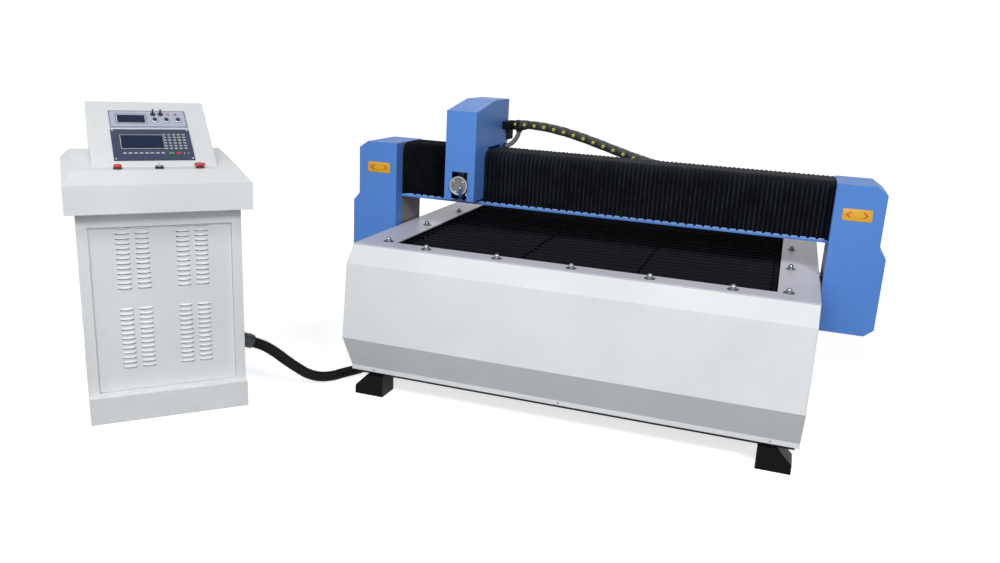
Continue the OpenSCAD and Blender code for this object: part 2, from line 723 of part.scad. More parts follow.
module conduit_glands() color("#1a1a1a") {
    at_console() difference() {
        translate(gland_base) rotate([0, 90 + gland_tilt, 0]) bar_z(gland[0], -gland[0], gland[1]);
        translate(gland_base) box([-4 * gland[0], -2 * gland[0], -2 * gland[0]], [0, 2 * gland[0], 2 * gland[0]]);
    }
    at_table() translate([table_gland[0], table_gland[1], 0]) rotate(hose_heading) {
        box([-gland_plate[1] / 2, -gland_plate[0] / 2, table_gland[2] - gland[0] - 5],
            [gland_plate[1] / 2, gland_plate[0] / 2, frame_z]);
        translate([0, 0, table_gland[2]]) bar_x(gland[0], -gland[1] - gland_plate[1] / 2, -gland_plate[1] / 2);
    }
}
module conduit_hose() color("#1c1c1e") at_table()
    tube(hose_points, hose_dirs, hose_radii, hose_bore / 2, hose_sides);

// Console
module console_plinth() color("white") at_console() difference() {
    box([-plinth[0] / 2, 0, 0], [plinth[0] / 2, plinth[1], plinth[2]]);
    box([shell_t - plinth[0] / 2, shell_t, -shell_t],
        [plinth[0] / 2 - shell_t, plinth[1] - shell_t, plinth[2] - shell_t]);
}

door_w = louvre_panel_size[0] + 2 * frame_gap;
door_z = [louvre_panel_z - frame_gap, louvre_panel_z + louvre_panel_size[1] + frame_gap];
panel_back = cabinet[1] + louvre_recess + shell_t;
module console_cabinet() color("white") at_console() {
    w = cabinet[0] / 2;
    difference() {
        box([-w, cabinet[1], plinth[2]], [w, cabinet[2], desk_z[0]]);
        box([shell_t - w, cabinet[1] + shell_t, 0], [w - shell_t, cabinet[2] - shell_t, desk_z[2]]);
        box([-door_w / 2, 0, door_z[0]], [door_w / 2, panel_back, door_z[1]]);
    }
    difference() {
        box([-door_w / 2 - shell_t, cabinet[1], door_z[0] - shell_t],
            [door_w / 2 + shell_t, panel_back + shell_t, door_z[1] + shell_t]);
        box([-door_w / 2, 0, door_z[0]], [door_w / 2, panel_back, door_z[1]]);
        box([jamb_flange - door_w / 2, 0, door_z[0] + jamb_flange],
            [door_w / 2 - jamb_flange, 2 * panel_back, door_z[1] - jamb_flange]);
    }
}
module louvre_panel() color("white") at_console() difference() {
    box([-louvre_panel_size[0] / 2, panel_back - shell_t, louvre_panel_z],
        [louvre_panel_size[0] / 2, panel_back, louvre_panel_z + louvre_panel_size[1]]);
    for (x = louvre_x) for (b = louvre_block_z) for (i = [0:louvre_rows - 1])
        translate([x, 0, louvre_panel_z + b + louvre_step * i])
            box([-louvre[0] / 2, 0, -louvre[1] / 2], [louvre[0] / 2, 2 * panel_back, louvre[1] / 2]);
}

desk_side = [
    [desk[1], desk_z[0]], [desk[1], desk_z[1]], [fold_y, desk_z[2]],
    [desk[2], desk_z[2] + desk_rise], [desk[2], desk_z[0]]];
desk_edge_tilt = atan(desk_edge_rise / (desk[2] - desk[1]));
bevel = [desk_slope[1], (desk_z[2] - desk_z[1]) * cos(desk_edge_tilt) - desk_slope[0] * sin(desk_edge_tilt)];
desk_under = desk_z[0] - 2 * desk_edge_rise;
desk_front = [
    [-desk[0] / 2, desk_under], [-desk[0] / 2, desk_z[1]], [2 * bevel[0] - desk[0] / 2, desk_z[1] + 2 * bevel[1]],
    [desk[0] / 2 - 2 * bevel[0], desk_z[1] + 2 * bevel[1]], [desk[0] / 2, desk_z[1]], [desk[0] / 2, desk_under]];
module desk_roof(outline) translate([0, desk[1], desk_z[1]]) rotate([desk_edge_tilt, 0, 0])
    translate([0, -desk[1], -desk_z[1]]) along_y(desk[1] - desk_slope[0], desk[2] + desk_slope[0]) polygon(outline);
module console_desk() color("white") at_console() {
    difference() {
        intersection() {
            along_x(-desk[0] / 2, desk[0] / 2) polygon(desk_side);
            desk_roof(desk_front);
        }
        intersection() {
            along_x(-desk[0] / 2, desk[0] / 2) polygon(shell_inside(desk_side, shell_t, shell_t));
            desk_roof(shell_inside(desk_front, shell_t, shell_t));
        }
        box([desk_hole_in - hood_w / 2, hood_foot + desk_hole_in, desk_z[0]],
            [hood_w / 2 - desk_hole_in, hood_top[1] - desk_hole_in, hood_top[0]]);
        for (i = [0:2]) switch_frame(i) bar_z(switch_body[0] + switch_hole_gap, -2 * shell_t, 2 * shell_t);
    }
    difference() {
        box([-desk[0] / 2, desk[1], desk_z[0]], [desk[0] / 2, desk[2], desk_z[0] + shell_t]);
        box([shell_t - cabinet[0] / 2, cabinet[1] + shell_t, 0],
            [cabinet[0] / 2 - shell_t, cabinet[2] - shell_t, desk_z[1]]);
    }
}

hood_line = [
    [hood_foot, desk_top(hood_foot)], [face_y + face_run, hood_top[0]], [hood_top[1], hood_top[0]], [hood_top[1], hood_back_z]];
module panel_hole(size, v) translate([-size[0] / 2, v, 0])
    box([panel_edge - pocket_gap, panel_edge - pocket_gap, -panel_box_d],
        [size[0] - panel_edge + pocket_gap, size[1] - panel_edge + pocket_gap, panel_box_d]);
module console_hood() color("white") at_console() difference() {
    along_x(-hood_w / 2, hood_w / 2) polygon(hood_line);
    along_x(shell_t - hood_w / 2, hood_w / 2 - shell_t) polygon(shell_inside(hood_line, shell_t, 10));
    face_frame() {
        panel_hole(controller, controller_v);
        panel_hole(height_panel_size, height_panel_v);
    }
}

module panel_plate(size, v) translate([-size[0] / 2, v, 0]) {
    box([0, 0, 0], [size[0], size[1], panel_proud]);
    box([panel_edge, panel_edge, -panel_box_d], [size[0] - panel_edge, size[1] - panel_edge, 0]);
}
module glass_pocket(s) translate([s[0], s[1], panel_proud - glass_t])
    box([-pocket_gap, -pocket_gap, 0], [s[2] + pocket_gap, s[3] + pocket_gap, 2 * glass_t]);
module glass(s) translate([s[0], s[1], panel_proud - glass_t]) cube([s[2], s[3], glass_t]);

module controller_panel() color("#2b3040") on_face() difference() {
    panel_plate(controller, controller_v);
    translate([0, controller_v, 0]) {
        glass_pocket(lcd);
        for (x = run_key_x) translate([x, run_key_v, panel_proud - run_key[2] / 2 - key_rest])
            box([-run_key[0] / 2 - pocket_gap, -run_key[1] / 2 - pocket_gap, 0],
                [run_key[0] / 2 + pocket_gap, run_key[1] / 2 + pocket_gap, 2 * panel_proud]);
    }
}
module height_panel() color("#b9b6c8") on_face() difference() {
    union() {
        panel_plate(height_panel_size, height_panel_v);
        for (x = toggle_x) translate([x, height_panel_v + toggle_v, 0])
            bar_z(toggle[0], 0, panel_proud + 0.75 * toggle[0]);
    }
    translate([0, height_panel_v, 0]) {
        glass_pocket(height_lcd);
        for (x = toggle_x) translate([x, toggle_v, panel_proud]) {
            bar_z(toggle[0] - 1.5, -1.5 * toggle[1], 2 * toggle[0]);
            bar_x(pin_r + run_gap, -2 * toggle[0], 2 * toggle[0]);
        }
        for (x = knob_x) translate([x, knob_v, 0])
            bar_z(knob_shaft[0] + run_gap, panel_proud - knob_shaft[1] - 1, 2 * panel_proud);
    }
}
module screens() color("#9fb0c8") on_face() {
    translate([0, controller_v, 0]) glass(lcd);
    translate([0, height_panel_v, 0]) glass(height_lcd);
}
module keypad() color("#d5d8dd") on_face(controller_v) translate([0, 0, panel_proud]) {
    for (i = [0:keypad_at[2] - 1]) for (j = [0:keypad_at[3] - 1])
        translate([keypad_at[0] + key[2] * i, keypad_at[1] + key[3] * j, 0]) cube([key[0], key[1], key_t]);
    for (i = [0:soft_keys[2] - 1])
        translate([soft_keys[0] + (key[2] + 1.5) * i, soft_keys[1], 0]) cube([key[0], key[1], key_t]);
}
module run_key_cap(i) on_face(controller_v)
    translate([run_key_x[i] - run_key[0] / 2, run_key_v - run_key[1] / 2, panel_proud - run_key[2] / 2])
        cube(run_key);
module start_key() color("green") run_key_cap(0);
module stop_key() color("red") run_key_cap(1);

module toggle_lever(i) on_face(height_panel_v) translate([toggle_x[i], toggle_v, panel_proud]) {
    bar_x(pin_r, -toggle[0], toggle[0]);
    rotate([-14, 0, 0]) rotate_extrude() polygon([
        [0, -toggle[1]], [toggle[1] * 0.7, -toggle[1]], [toggle[1] * 0.7, toggle[0]],
        [toggle[1], toggle[2] - 1], [toggle[1] * 0.7, toggle[2]], [0, toggle[2]]]);
}
module arc_toggle() color("#18181a") toggle_lever(0);
module auto_toggle() color("#18181a") toggle_lever(1);
module status_lamps() color("red") on_face(height_panel_v) for (x = lamp_x)
    translate([x, toggle_v, panel_proud]) rotate_extrude()
        polygon(concat([[0, 0], [lamp_r, 0]], [for (a = [0:18:90]) [lamp_r * cos(a), lamp_r * (0.4 + sin(a))]]));
module panel_knob(i) on_face(height_panel_v) translate([knob_x[i], knob_v, panel_proud]) {
    bar_z(knob_shaft[0], -knob_shaft[1], pass_gap);
    bar_z(knob[0], pass_gap, knob[1] * 0.35);
    bar_z(knob[0] * 0.8, knob[1] * 0.35, knob[1]);
}
module voltage_knob() color("black") panel_knob(0);
module height_knob() color("black") panel_knob(1);
module delay_knob() color("black") panel_knob(2);

module at_switch(i) at_console() switch_frame(i) children();
module switch_collars() color("#151515") for (i = [0:2]) at_switch(i) difference() {
    union() {
        bar_z(collar[0], 0, collar[1]);
        bar_z(switch_body[0], -switch_body[1], 0);
    }
    bar_z(stem_r + run_gap, -switch_body[1] + 4, 2 * collar[1]);
}
stem_foot = 8 - switch_body[1] + press;
module push_button() color("red") at_switch(0) {
    bar_z(stem_r, stem_foot, collar[1] + press + cap_gap);
    bar_z(collar[0] * 0.96, collar[1] + press + cap_gap, collar[1] + press + 9);
}
module selector_knob() color("silver") at_switch(1) {
    bar_z(stem_r, stem_foot, collar[1] + cap_gap);
    bar_z(collar[0] * 0.9, collar[1] + cap_gap, collar[1] + 5);
    translate([0, 0, collar[1] + 5]) box([-4, -collar[0] * 0.88, -1], [4, collar[0] * 0.88, 6]);
}
module emergency_stop() color("red") at_switch(2) {
    bar_z(stem_r, stem_foot, collar[1] + press + cap_gap);
    translate([0, 0, collar[1] + press + cap_gap]) rotate_extrude() polygon([
        [0, -1], [stem_r, -1], [stem_r, 0], [mushroom_r * 0.88, 2], [mushroom_r, 5], [mushroom_r * 0.97, 8.5],
        [mushroom_r * 0.8, 11], [mushroom_r * 0.4, 12.6], [0, 13]]);
}
module electronics() color("#8c9096") at_console() {
    back = cabinet[2] - shell_t;
    box([-mount_plate[0] / 2, back - mount_plate[2], mount_plate_z],
        [mount_plate[0] / 2, back, mount_plate_z + mount_plate[1]]);
    for (u = units)
        box([u[0], back - mount_plate[2] - u[4], u[1]], [u[0] + u[2], back - mount_plate[2] / 2, u[1] + u[3]]);
}

// Gantry
module gantry_side_plates() color("#8f959c") at_gantry() both_sides() difference() {
    box([col_x, col_lip, plate_at], [col_x + plate_t, col_d - cover_t, col_at[0] - cover_t]);
    translate([0, pinion_y, pinion_z]) bar_x(shaft_hole_r, col_x - plate_t, col_x + 2 * plate_t);
}
col_line = [
    [0, col_at[0]], [col_w[0] - col_top_cut[0], col_at[0]], [col_w[0], col_at[0] - col_top_cut[1]],
    [col_w[0], col_step_at[0]], [col_w[1], col_step_at[1]], [col_w[1], col_at[1] + col_foot_cut[1]],
    [col_w[1] - col_foot_cut[0], col_at[1]], [0, col_at[1]]];
module column_covers() color("#4f86d8") at_gantry() both_sides() translate([col_x, 0, 0]) {
    along_y(0, col_d) polygon(sheet(col_line, -cover_t));
    along_y(0, cover_t) polygon(col_line);
    along_y(col_d - cover_t, col_d) polygon(col_line);
    box([0, 0, col_at[1]], [cover_t, col_lip, col_at[0]]);
}
module beam() color("#4f86d8") at_gantry() {
    difference() {
        box([-col_x, beam_y[0], beam_at[0]], [col_x, beam_back, beam_at[1]]);
        box([-2 * col_x, beam_y[0] + beam_wall, beam_at[0] + beam_wall],
            [2 * col_x, beam_back - beam_wall, beam_at[1] - beam_wall]);
    }
    box([-col_x, flange_y, beam_at[0] - flange_t], [col_x, beam_back, beam_at[0]]);
}
module beam_rails() color("silver") at_gantry() for (z = beam_rail_z)
    box([beam_rail_end - col_x, beam_y[0] - rail[1], z - rail[0] / 2],
        [col_x - beam_rail_end, beam_y[0], z + rail[0] / 2]);
module beam_rack() color("gray") at_gantry() translate([0, beam_rack_y, beam_at[1]]) linear_extrude(beam_rack_w)
    polygon(rack_outline(beam_rail_end - col_x, col_x - beam_rail_end, head_x));

rail_slot = rail[0] + 2 * pass_gap;
module gantry_bearings() color("#5a5f66") at_gantry() both_sides() for (s = [-1, 1])
    translate([0, pinion_y + s * block_y, rail_z]) difference() {
        box([frame_x + rail_base, -block[0] / 2, -block[1] / 2], [col_x, block[0] / 2, block[1] / 2]);
        box([frame_x, -block[0], -rail_slot / 2], [frame_x + rail[1] + pass_gap, block[0], rail_slot / 2]);
    }
module drive_motors() color("#202022") at_gantry() both_sides() translate([col_x + plate_t, pinion_y, pinion_z])
    difference() {
        box([0, -motor[0] / 2, -motor[0] / 2], [motor[1], motor[0] / 2, motor[0] / 2]);
        bar_x(shaft_r + run_gap, -plate_t, shaft_in + 5);
    }
module gantry_pinions() color("silver") at_gantry() both_sides() translate([0, pinion_y, pinion_z]) {
    along_x(frame_x + pinion_gap, frame_x + pinion_gap + rack_w) polygon(pinion_outline);
    bar_x(shaft_r, frame_x + pinion_gap + rack_w / 2, col_x + plate_t + shaft_in);
}

bellows_line = concat([[bellows_y[0], bellows_at[0]]],
    arc([bellows_y[0] + bellows_r[0], bellows_at[1] - bellows_r[0]], bellows_r[0], 180, 90, 5),
    arc([bellows_y[1] - bellows_r[1], bellows_at[1] - bellows_r[1]], bellows_r[1], 90, 0, 2),
    [[bellows_y[1], bellows_back_at]]);
function bellows_ring(x, d) =
    [for (p = concat(parallel(bellows_line, -d), reversed(parallel(bellows_line, -d - cloth_t)))) [x, p[0], p[1]]];
module bellows(x0, x1) skin([for (i = [0:2 * pleats])
    bellows_ring(x0 + (x1 - x0) * i / (2 * pleats), i % 2 == 0 ? pleat_d : 0)]);
module bellows_left() color("#16181d") at_gantry() bellows(pass_gap - col_x, head_x - head_side - pass_gap);
module bellows_right() color("#16181d") at_gantry() bellows(head_x + head_side + pass_gap, col_x - pass_gap);

function chain_point(i) =
    let (fall = max(0, i - 1) / (links - 1))
    [chain_start_x + (chain_end_x - chain_start_x) * i / links,
        chain_at[1] + (chain_at[0] - chain_at[1]) * (0.5 + 0.5 * cos(180 * fall))];
module chain_side(l, y) translate([0, y, 0]) {
    rotate([90, 0, 0]) translate([0, 0, -link_t]) {
        cylinder(r = link[0] / 2, h = link_t);
        translate([l, 0, 0]) cylinder(r = link[0] / 2, h = link_t);
    }
    box([0, 0, -link[0] / 2], [l, link_t, link[0] / 2]);
}
module chain_link(l, inset) {
    half = link[1] / 2 - inset;
    chain_side(l, half - link_t);
    chain_side(l, -half);
    for (z = [-link[0] / 2, link[0] / 2 - link_t])
        box([l * 0.4, -half, z], [l * 0.6, half, z + link_t]);
}
module cable_chain() color("#141414") at_gantry() for (i = [0:links - 1]) {
    a = chain_point(i);
    d = chain_point(i + 1) - a;
    translate([a[0], chain_y, a[1]]) rotate([0, -atan2(d[1], d[0]), 0])
        chain_link(norm(d), i % 2 == 0 ? 0 : link_t + pass_gap);
}
tray_top = chain_at[1] - link[0] / 2 - chain_seat;
chain_back = chain_y + link[1] / 2;
module chain_tray() color("#222226") at_gantry() {
    box([chain_end_x - link_pitch, beam_back, tray_top - chain_tray_t],
        [col_x - beam_rail_end, chain_back + 2 * chain_tray_t, tray_top]);
    box([chain_end_x - link_pitch, chain_back + chain_tray_t, tray_top - chain_tray_t],
        [col_x - beam_rail_end, chain_back + 2 * chain_tray_t, tray_top + chain_tray_lip]);
}

// Torch head
inner_side = head_side - cover_t;
module carriage_plate() color("#9aa0a8") at_head() difference() {
    union() {
        box([-inner_side, carriage_y, carriage_z], [inner_side, carriage_back, overhang_at + bridge_t]);
        box([-inner_side, carriage_y, overhang_at], [inner_side, head_y[1] - cover_t, overhang_at + bridge_t]);
    }
    translate([0, car_pinion_y, 0]) bar_z(shaft_hole_r, overhang_at - bridge_t, overhang_at + 2 * bridge_t);
}
module carriage_bearings() color("#5a5f66") at_head() for (z = beam_rail_z) for (s = [-1, 1])
    translate([s * car_block_x, beam_y[0], z]) difference() {
        box([-car_block_l / 2, -block[2], -block[1] / 2], [car_block_l / 2, -rail_base, block[1] / 2]);
        box([-car_block_l, -rail[1] - pass_gap, -rail_slot / 2], [car_block_l, 0, rail_slot / 2]);
    }
lift_motor_base = lift_at[1];
module carriage_motors() color("#202022") at_head() {
    translate([0, car_pinion_y, overhang_at + bridge_t]) difference() {
        box([-motor[0] / 2, -motor[0] / 2, 0], [motor[0] / 2, motor[0] / 2, motor[1]]);
        bar_z(shaft_r + run_gap, -bridge_t, shaft_in + 5);
    }
    translate([0, lift_y, lift_motor_base]) difference() {
        box([-lift_motor_size[0] / 2, -lift_motor_size[0] / 2, 0],
            [lift_motor_size[0] / 2, lift_motor_size[0] / 2, lift_motor_size[1]]);
        bar_z(screw_tail[0] + run_gap, -lift[1], screw_tail[1]);
    }
}
module carriage_pinion() color("silver") at_head() translate([0, car_pinion_y, 0]) {
    translate([0, 0, beam_at[1] + car_pinion_in]) linear_extrude(beam_rack_w - 2 * car_pinion_in) polygon(pinion_outline);
    bar_z(shaft_r, beam_at[1] + 2 * car_pinion_in, overhang_at + bridge_t + shaft_in);
}
head_line = [
    [head_y[0], head_at[0]], [head_y[0], head_at[1]], [roof_y, head_at[2]],
    [head_y[1], head_at[2]], [head_y[1], tail_at]];
module head_cover() color("#4f86d8") at_head() {
    difference() {
        along_x(-head_side, head_side) polygon(sheet(head_line, -cover_t));
        box([-torch_hole[0] / 2, 2 * head_y[0], 0], [torch_hole[0] / 2, 0, table_h + torch_hole[1]]);
    }
    both_sides() along_x(inner_side, head_side)
        polygon(concat(head_line, [
            [tail_y, tail_at], [tail_y, overhang_at], [carriage_back, overhang_at], [carriage_back, head_at[0]]]));
}
module lift_frame() color("#b8bcc2") at_head() {
    w = lift[0] / 2;
    difference() {
        union() {
            box([-w, carriage_y - lift[1], lift_at[0]], [w, carriage_y, lift_at[1]]);
            box([-w, lift_y - lift_depth, lift_at[1] - lift[1]], [w, carriage_y, lift_at[1]]);
            box([-w, lift_y - lift_foot_depth, lift_at[0]], [w, carriage_y, lift_at[0] + lift[1]]);
        }
        translate([0, lift_y, 0]) bar_z(rod_r + 1, lift_at[1] - 2 * lift[1], lift_at[1] + lift[1]);
    }
    both_sides() translate([rod_x, lift_y, 0]) bar_z(rod_r, lift_at[0] + lift[1] / 2, lift_at[1] - lift[1] / 2);
}
module lift_screw() color("silver") at_head() translate([0, lift_y, 0]) {
    bar_z(rod_r, lift_at[0] + lift[1] + screw_end, lift_at[1] - lift[1] - screw_end);
    bar_z(screw_tail[0], lift_at[1] - 2 * lift[1], lift_at[1] + screw_tail[1] - screw_end);
}
module chain_bracket() color("#141414") at_head() {
    top = chain_at[0] - link[0] / 2 - chain_seat;
    box([head_side, head_y[1] - bracket_in, top - bracket_drop], [head_side + bracket_t, chain_back, top]);
    box([head_side, head_y[1] - bracket_in, top - bracket_t], [head_side + bracket_l, chain_back, top]);
}
conduit_top = chain_at[0] - link[0] / 2 - chain_seat - bracket_t;
function conduit_point(t) = [
    head_side + conduit_from[0] * cos(90 * t),
    conduit_from[1] + (conduit_to[0] - conduit_from[1]) * (t * t * (3 - 2 * t)),
    conduit_top + (conduit_to[1] - conduit_top) * sin(90 * t)];
conduit_points = [for (i = [0:2 * conduit_ribs]) conduit_point(i / (2 * conduit_ribs))];
conduit_dirs = [for (i = [0:2 * conduit_ribs])
    i == 0 ? [0, 0, -1] : i == 2 * conduit_ribs ? [-1, 0, 0] : run_dir(conduit_points, i)];
module head_conduit() color("#8a8d90") at_head() tube(conduit_points, conduit_dirs,
    [for (i = [0:2 * conduit_ribs]) i % 2 == 0 ? conduit_r * 0.82 : conduit_r], conduit_bore, conduit_sides);

slide_front = lift_y - slide_d / 2;
module torch_slide() color("#c2c6cc") at_head() difference() {
    union() {
        box([-slide_w / 2, slide_front, slide_at[0]], [slide_w / 2, slide_front + slide_d, slide_at[0] + slide_at[1]]);
        box([-arm_w / 2, slide_front - arm_t, arm_z], [arm_w / 2, slide_front, slide_at[0] + slide_at[1]]);
    }
    for (x = [-rod_x, 0, rod_x]) translate([x, lift_y, 0])
        bar_z(rod_r + run_gap, 0, slide_at[0] + 2 * slide_at[1]);
}
module torch_clamp() color("#d0d3d6") at_head() difference() {
    union() {
        translate([0, torch_y, 0]) bar_z(clamp_r, clamp_at[0], clamp_at[0] + clamp_at[1]);
        box([-clamp_neck_w / 2, torch_y, clamp_at[0]], [clamp_neck_w / 2, slide_front - arm_t, clamp_at[0] + clamp_at[1]]);
        translate([0, head_y[0] - clamp_face_gap, clamp_at[0] + clamp_at[1] / 2]) rotate([90, 0, 0]) {
            bar_z(clamp_face[0], 0, clamp_face[1]);
            bar_z(clamp_at[1] / 2, head_y[0] - clamp_face_gap - torch_y, clamp_face[1] / 2);
        }
    }
    translate([0, torch_y, 0]) bar_z(torch_r, 0, 2 * clamp_at[0]);
}
module torch() color("#3a3a3c") at_head() translate([0, torch_y, 0]) rotate_extrude() polygon([
    [0, torch_at[1]], [nozzle_r, torch_at[1]], [torch_r, torch_at[1] + nozzle_h], [torch_r, torch_at[0] - 8],
    [torch_r * 0.75, torch_at[0]], [0, torch_at[0]]]);

table_frame();
feet();
front_panel();
rear_panel();
side_panels();
end_rims();
side_rims();
rim_nuts();
slag_tray();
slats();
side_rails();
side_racks();
conduit_glands();
conduit_hose();
console_plinth();
console_cabinet();
louvre_panel();
console_desk();
console_hood();
height_panel();
controller_panel();
screens();
keypad();
start_key();
stop_key();
arc_toggle();
auto_toggle();
status_lamps();
voltage_knob();
height_knob();
delay_knob();
switch_collars();
push_button();
selector_knob();
emergency_stop();
electronics();
gantry_side_plates();
column_covers();
beam();
beam_rails();
beam_rack();
gantry_bearings();
drive_motors();
gantry_pinions();
bellows_left();
bellows_right();
cable_chain();
chain_tray();
carriage_plate();
carriage_bearings();
carriage_motors();
carriage_pinion();
head_cover();
lift_frame();
lift_screw();
chain_bracket();
head_conduit();
torch_slide();
torch_clamp();
torch();
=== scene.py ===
import math
import random

import bmesh
import bpy
from mathutils import Matrix, Vector


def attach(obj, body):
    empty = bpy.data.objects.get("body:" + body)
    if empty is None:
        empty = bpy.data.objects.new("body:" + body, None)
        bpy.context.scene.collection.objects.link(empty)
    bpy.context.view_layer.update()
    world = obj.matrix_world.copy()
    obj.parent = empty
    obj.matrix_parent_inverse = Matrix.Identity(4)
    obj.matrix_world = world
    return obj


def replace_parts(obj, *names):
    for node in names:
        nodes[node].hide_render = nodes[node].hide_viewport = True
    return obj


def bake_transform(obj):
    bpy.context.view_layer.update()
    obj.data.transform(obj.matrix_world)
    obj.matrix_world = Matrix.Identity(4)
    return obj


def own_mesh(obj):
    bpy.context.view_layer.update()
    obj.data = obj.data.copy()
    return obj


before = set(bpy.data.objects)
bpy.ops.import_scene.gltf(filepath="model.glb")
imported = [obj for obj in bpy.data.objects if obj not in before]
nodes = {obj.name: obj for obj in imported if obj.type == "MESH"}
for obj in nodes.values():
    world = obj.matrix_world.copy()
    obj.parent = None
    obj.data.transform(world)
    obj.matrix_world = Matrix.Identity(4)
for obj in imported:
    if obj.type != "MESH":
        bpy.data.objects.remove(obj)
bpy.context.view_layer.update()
scene = bpy.context.scene
scene.view_settings.view_transform = "Standard"
print("machine loaded:", len(nodes), "nodes")

# where the parts stand, in metres; the console's face and ledge in millimetres on the console
origins = dict(
    table=(0.475, -1.232, 0), gantry=(0.475, -0.783, 0), head=(-0.167, -0.783, 0),
    console=(-1.049, -1.794, 0), consoleTurn=45.5, face=(0, 94, 1026), faceLean=230 / 465,
    ledge=(0, 82.35, 1032.12), ledgeFall=23 / 502,
)


def moved(place, x=0, y=0, z=0):
    return place @ Matrix.Translation((x, y, z))


def turned(degrees, axis):
    return Matrix.Rotation(math.radians(degrees), 4, axis)


def sinCos(degrees):
    return math.sin(math.radians(degrees)), math.cos(math.radians(degrees))


# frames of the machine, each taking millimetres
mm = Matrix.Scale(0.001, 4)
tableMm, gantryMm, headMm = [moved(Matrix(), *origins[part]) @ mm for part in ("table", "gantry", "head")]
consoleMm = moved(Matrix(), *origins["console"]) @ turned(origins["consoleTurn"], "Z") @ mm
faceMm = moved(consoleMm, *origins["face"]) @ Matrix.Rotation(math.asin(origins["faceLean"]), 4, "X")
ledgeMm = moved(consoleMm, *origins["ledge"]) @ Matrix.Rotation(math.atan(origins["ledgeFall"]), 4, "X")
facing = turned(90, "X")  # stands an outline up, its thickness towards the front


# camera, as the photograph was taken; turn and dip in degrees, roll in radians
viewPoint = dict(
    place=(1.2672, -4.5199, 1.5589), lens=30.77, sensor=36, clip=(0.02, 200), turn=18.2, dip=15.2,
    roll=0.052,
)


def makeCamera(s):
    turnSin, turnCos = sinCos(s["turn"])
    dipSin, dipCos = sinCos(s["dip"])
    right = Vector((turnCos, turnSin, 0))
    ahead = Vector((-turnSin * dipCos, turnCos * dipCos, -dipSin))
    up = right.cross(ahead)
    c, w = math.cos(s["roll"]), math.sin(s["roll"])
    columns = (c * right + w * up, c * up - w * right, -ahead)
    lens = bpy.data.cameras.new("camera")
    lens.lens, lens.sensor_width, lens.sensor_fit = s["lens"], s["sensor"], "HORIZONTAL"
    lens.clip_start, lens.clip_end = s["clip"]
    camera = bpy.data.objects.new("camera", lens)
    camera.matrix_world = Matrix.Translation(s["place"]) @ Matrix(columns).transposed().to_4x4()
    scene.collection.objects.link(camera)
    scene.camera = camera


makeCamera(viewPoint)
print("camera set")


# one socket of a shader, with arithmetic
class Wire:
    def __init__(self, tree, socket=None):
        self.tree, self.socket = tree, socket

    def put(self, socket, value):
        if isinstance(value, Wire):
            self.tree.links.new(value.socket, socket)
        else:
            socket.default_value = value

    def add(self, kind, settings=None, values=None, out=0):
        node = self.tree.nodes.new("ShaderNode" + kind)
        for key, value in (settings or {}).items():
            setattr(node, key, value)
        for key, value in (values or {}).items():
            self.put(node.inputs[key], value)
        return Wire(self.tree, node.outputs[out]) if node.outputs else None

    def maths(self, operation, a, b):
        return self.add("Math", {"operation": operation}, {0: a, 1: b})

    def __add__(self, other):
        return self.maths("ADD", self, other)

    def __radd__(self, other):
        return self.maths("ADD", other, self)

    def __sub__(self, other):
        return self.maths("SUBTRACT", self, other)

    def __rsub__(self, other):
        return self.maths("SUBTRACT", other, self)

    def __mul__(self, other):
        return self.maths("MULTIPLY", self, other)

    def __rmul__(self, other):
        return self.maths("MULTIPLY", other, self)

    def ease(self, low, high):  # 0 below low, 1 above high
        return self.add("MapRange", {"interpolation_type": "SMOOTHSTEP"}, {0: self, 1: low, 2: high})

    def tint(self, a, b):  # colour a where this is 0, b where it is 1
        return self.add("Mix", {"data_type": "RGBA"}, {0: self, 6: a, 7: b}, out=2)

    def height(self):  # z of a vector
        return self.add("SeparateXYZ", None, {0: self}, out="Z")

    def noise(self, scale, detail, rough=0.5):
        values = {"Vector": self, "Scale": scale, "Detail": detail, "Roughness": rough}
        return self.add("TexNoise", None, values)

    def cells(self, scale):
        return self.add("TexVoronoi", None, {"Vector": self, "Scale": scale}, out="Distance")

    def bands(self, direction, scale, waver=0.0):
        values = {"Vector": self, "Scale": scale, "Distortion": waver}
        return self.add("TexWave", {"bands_direction": direction}, values)

    def roundedNormal(self, radius):
        return self.add("Bevel", {"samples": 4}, {"Radius": radius})

    def bump(self, strength, distance, normal=None):
        values = {"Strength": strength, "Distance": distance, "Height": self}
        return self.add("Bump", None, dict(values, Normal=normal) if normal else values)


def rgb(red, green, blue):  # screen values, 0 to 255
    return tuple((v / 12.92 if v <= 0.04045 else ((v + 0.055) / 1.055) ** 2.4)
                 for v in (red / 255, green / 255, blue / 255)) + (1.0,)


def shade(colour, factor):
    return tuple(c * factor for c in colour[:3]) + (1.0,)


def emptyTree(owner):
    owner.use_nodes = True
    owner.node_tree.nodes.clear()
    return Wire(owner.node_tree)


def makeCoat(name, recipe, s, fixed=None):
    coat = bpy.data.materials.new(name)
    wire = emptyTree(coat)
    varied = recipe(wire, wire.add("TexCoord", out="Object"), s)
    body = wire.add("BsdfPrincipled", None, {**(fixed or {}), **varied})
    wire.add("OutputMaterial", None, {"Surface": body})
    return coat


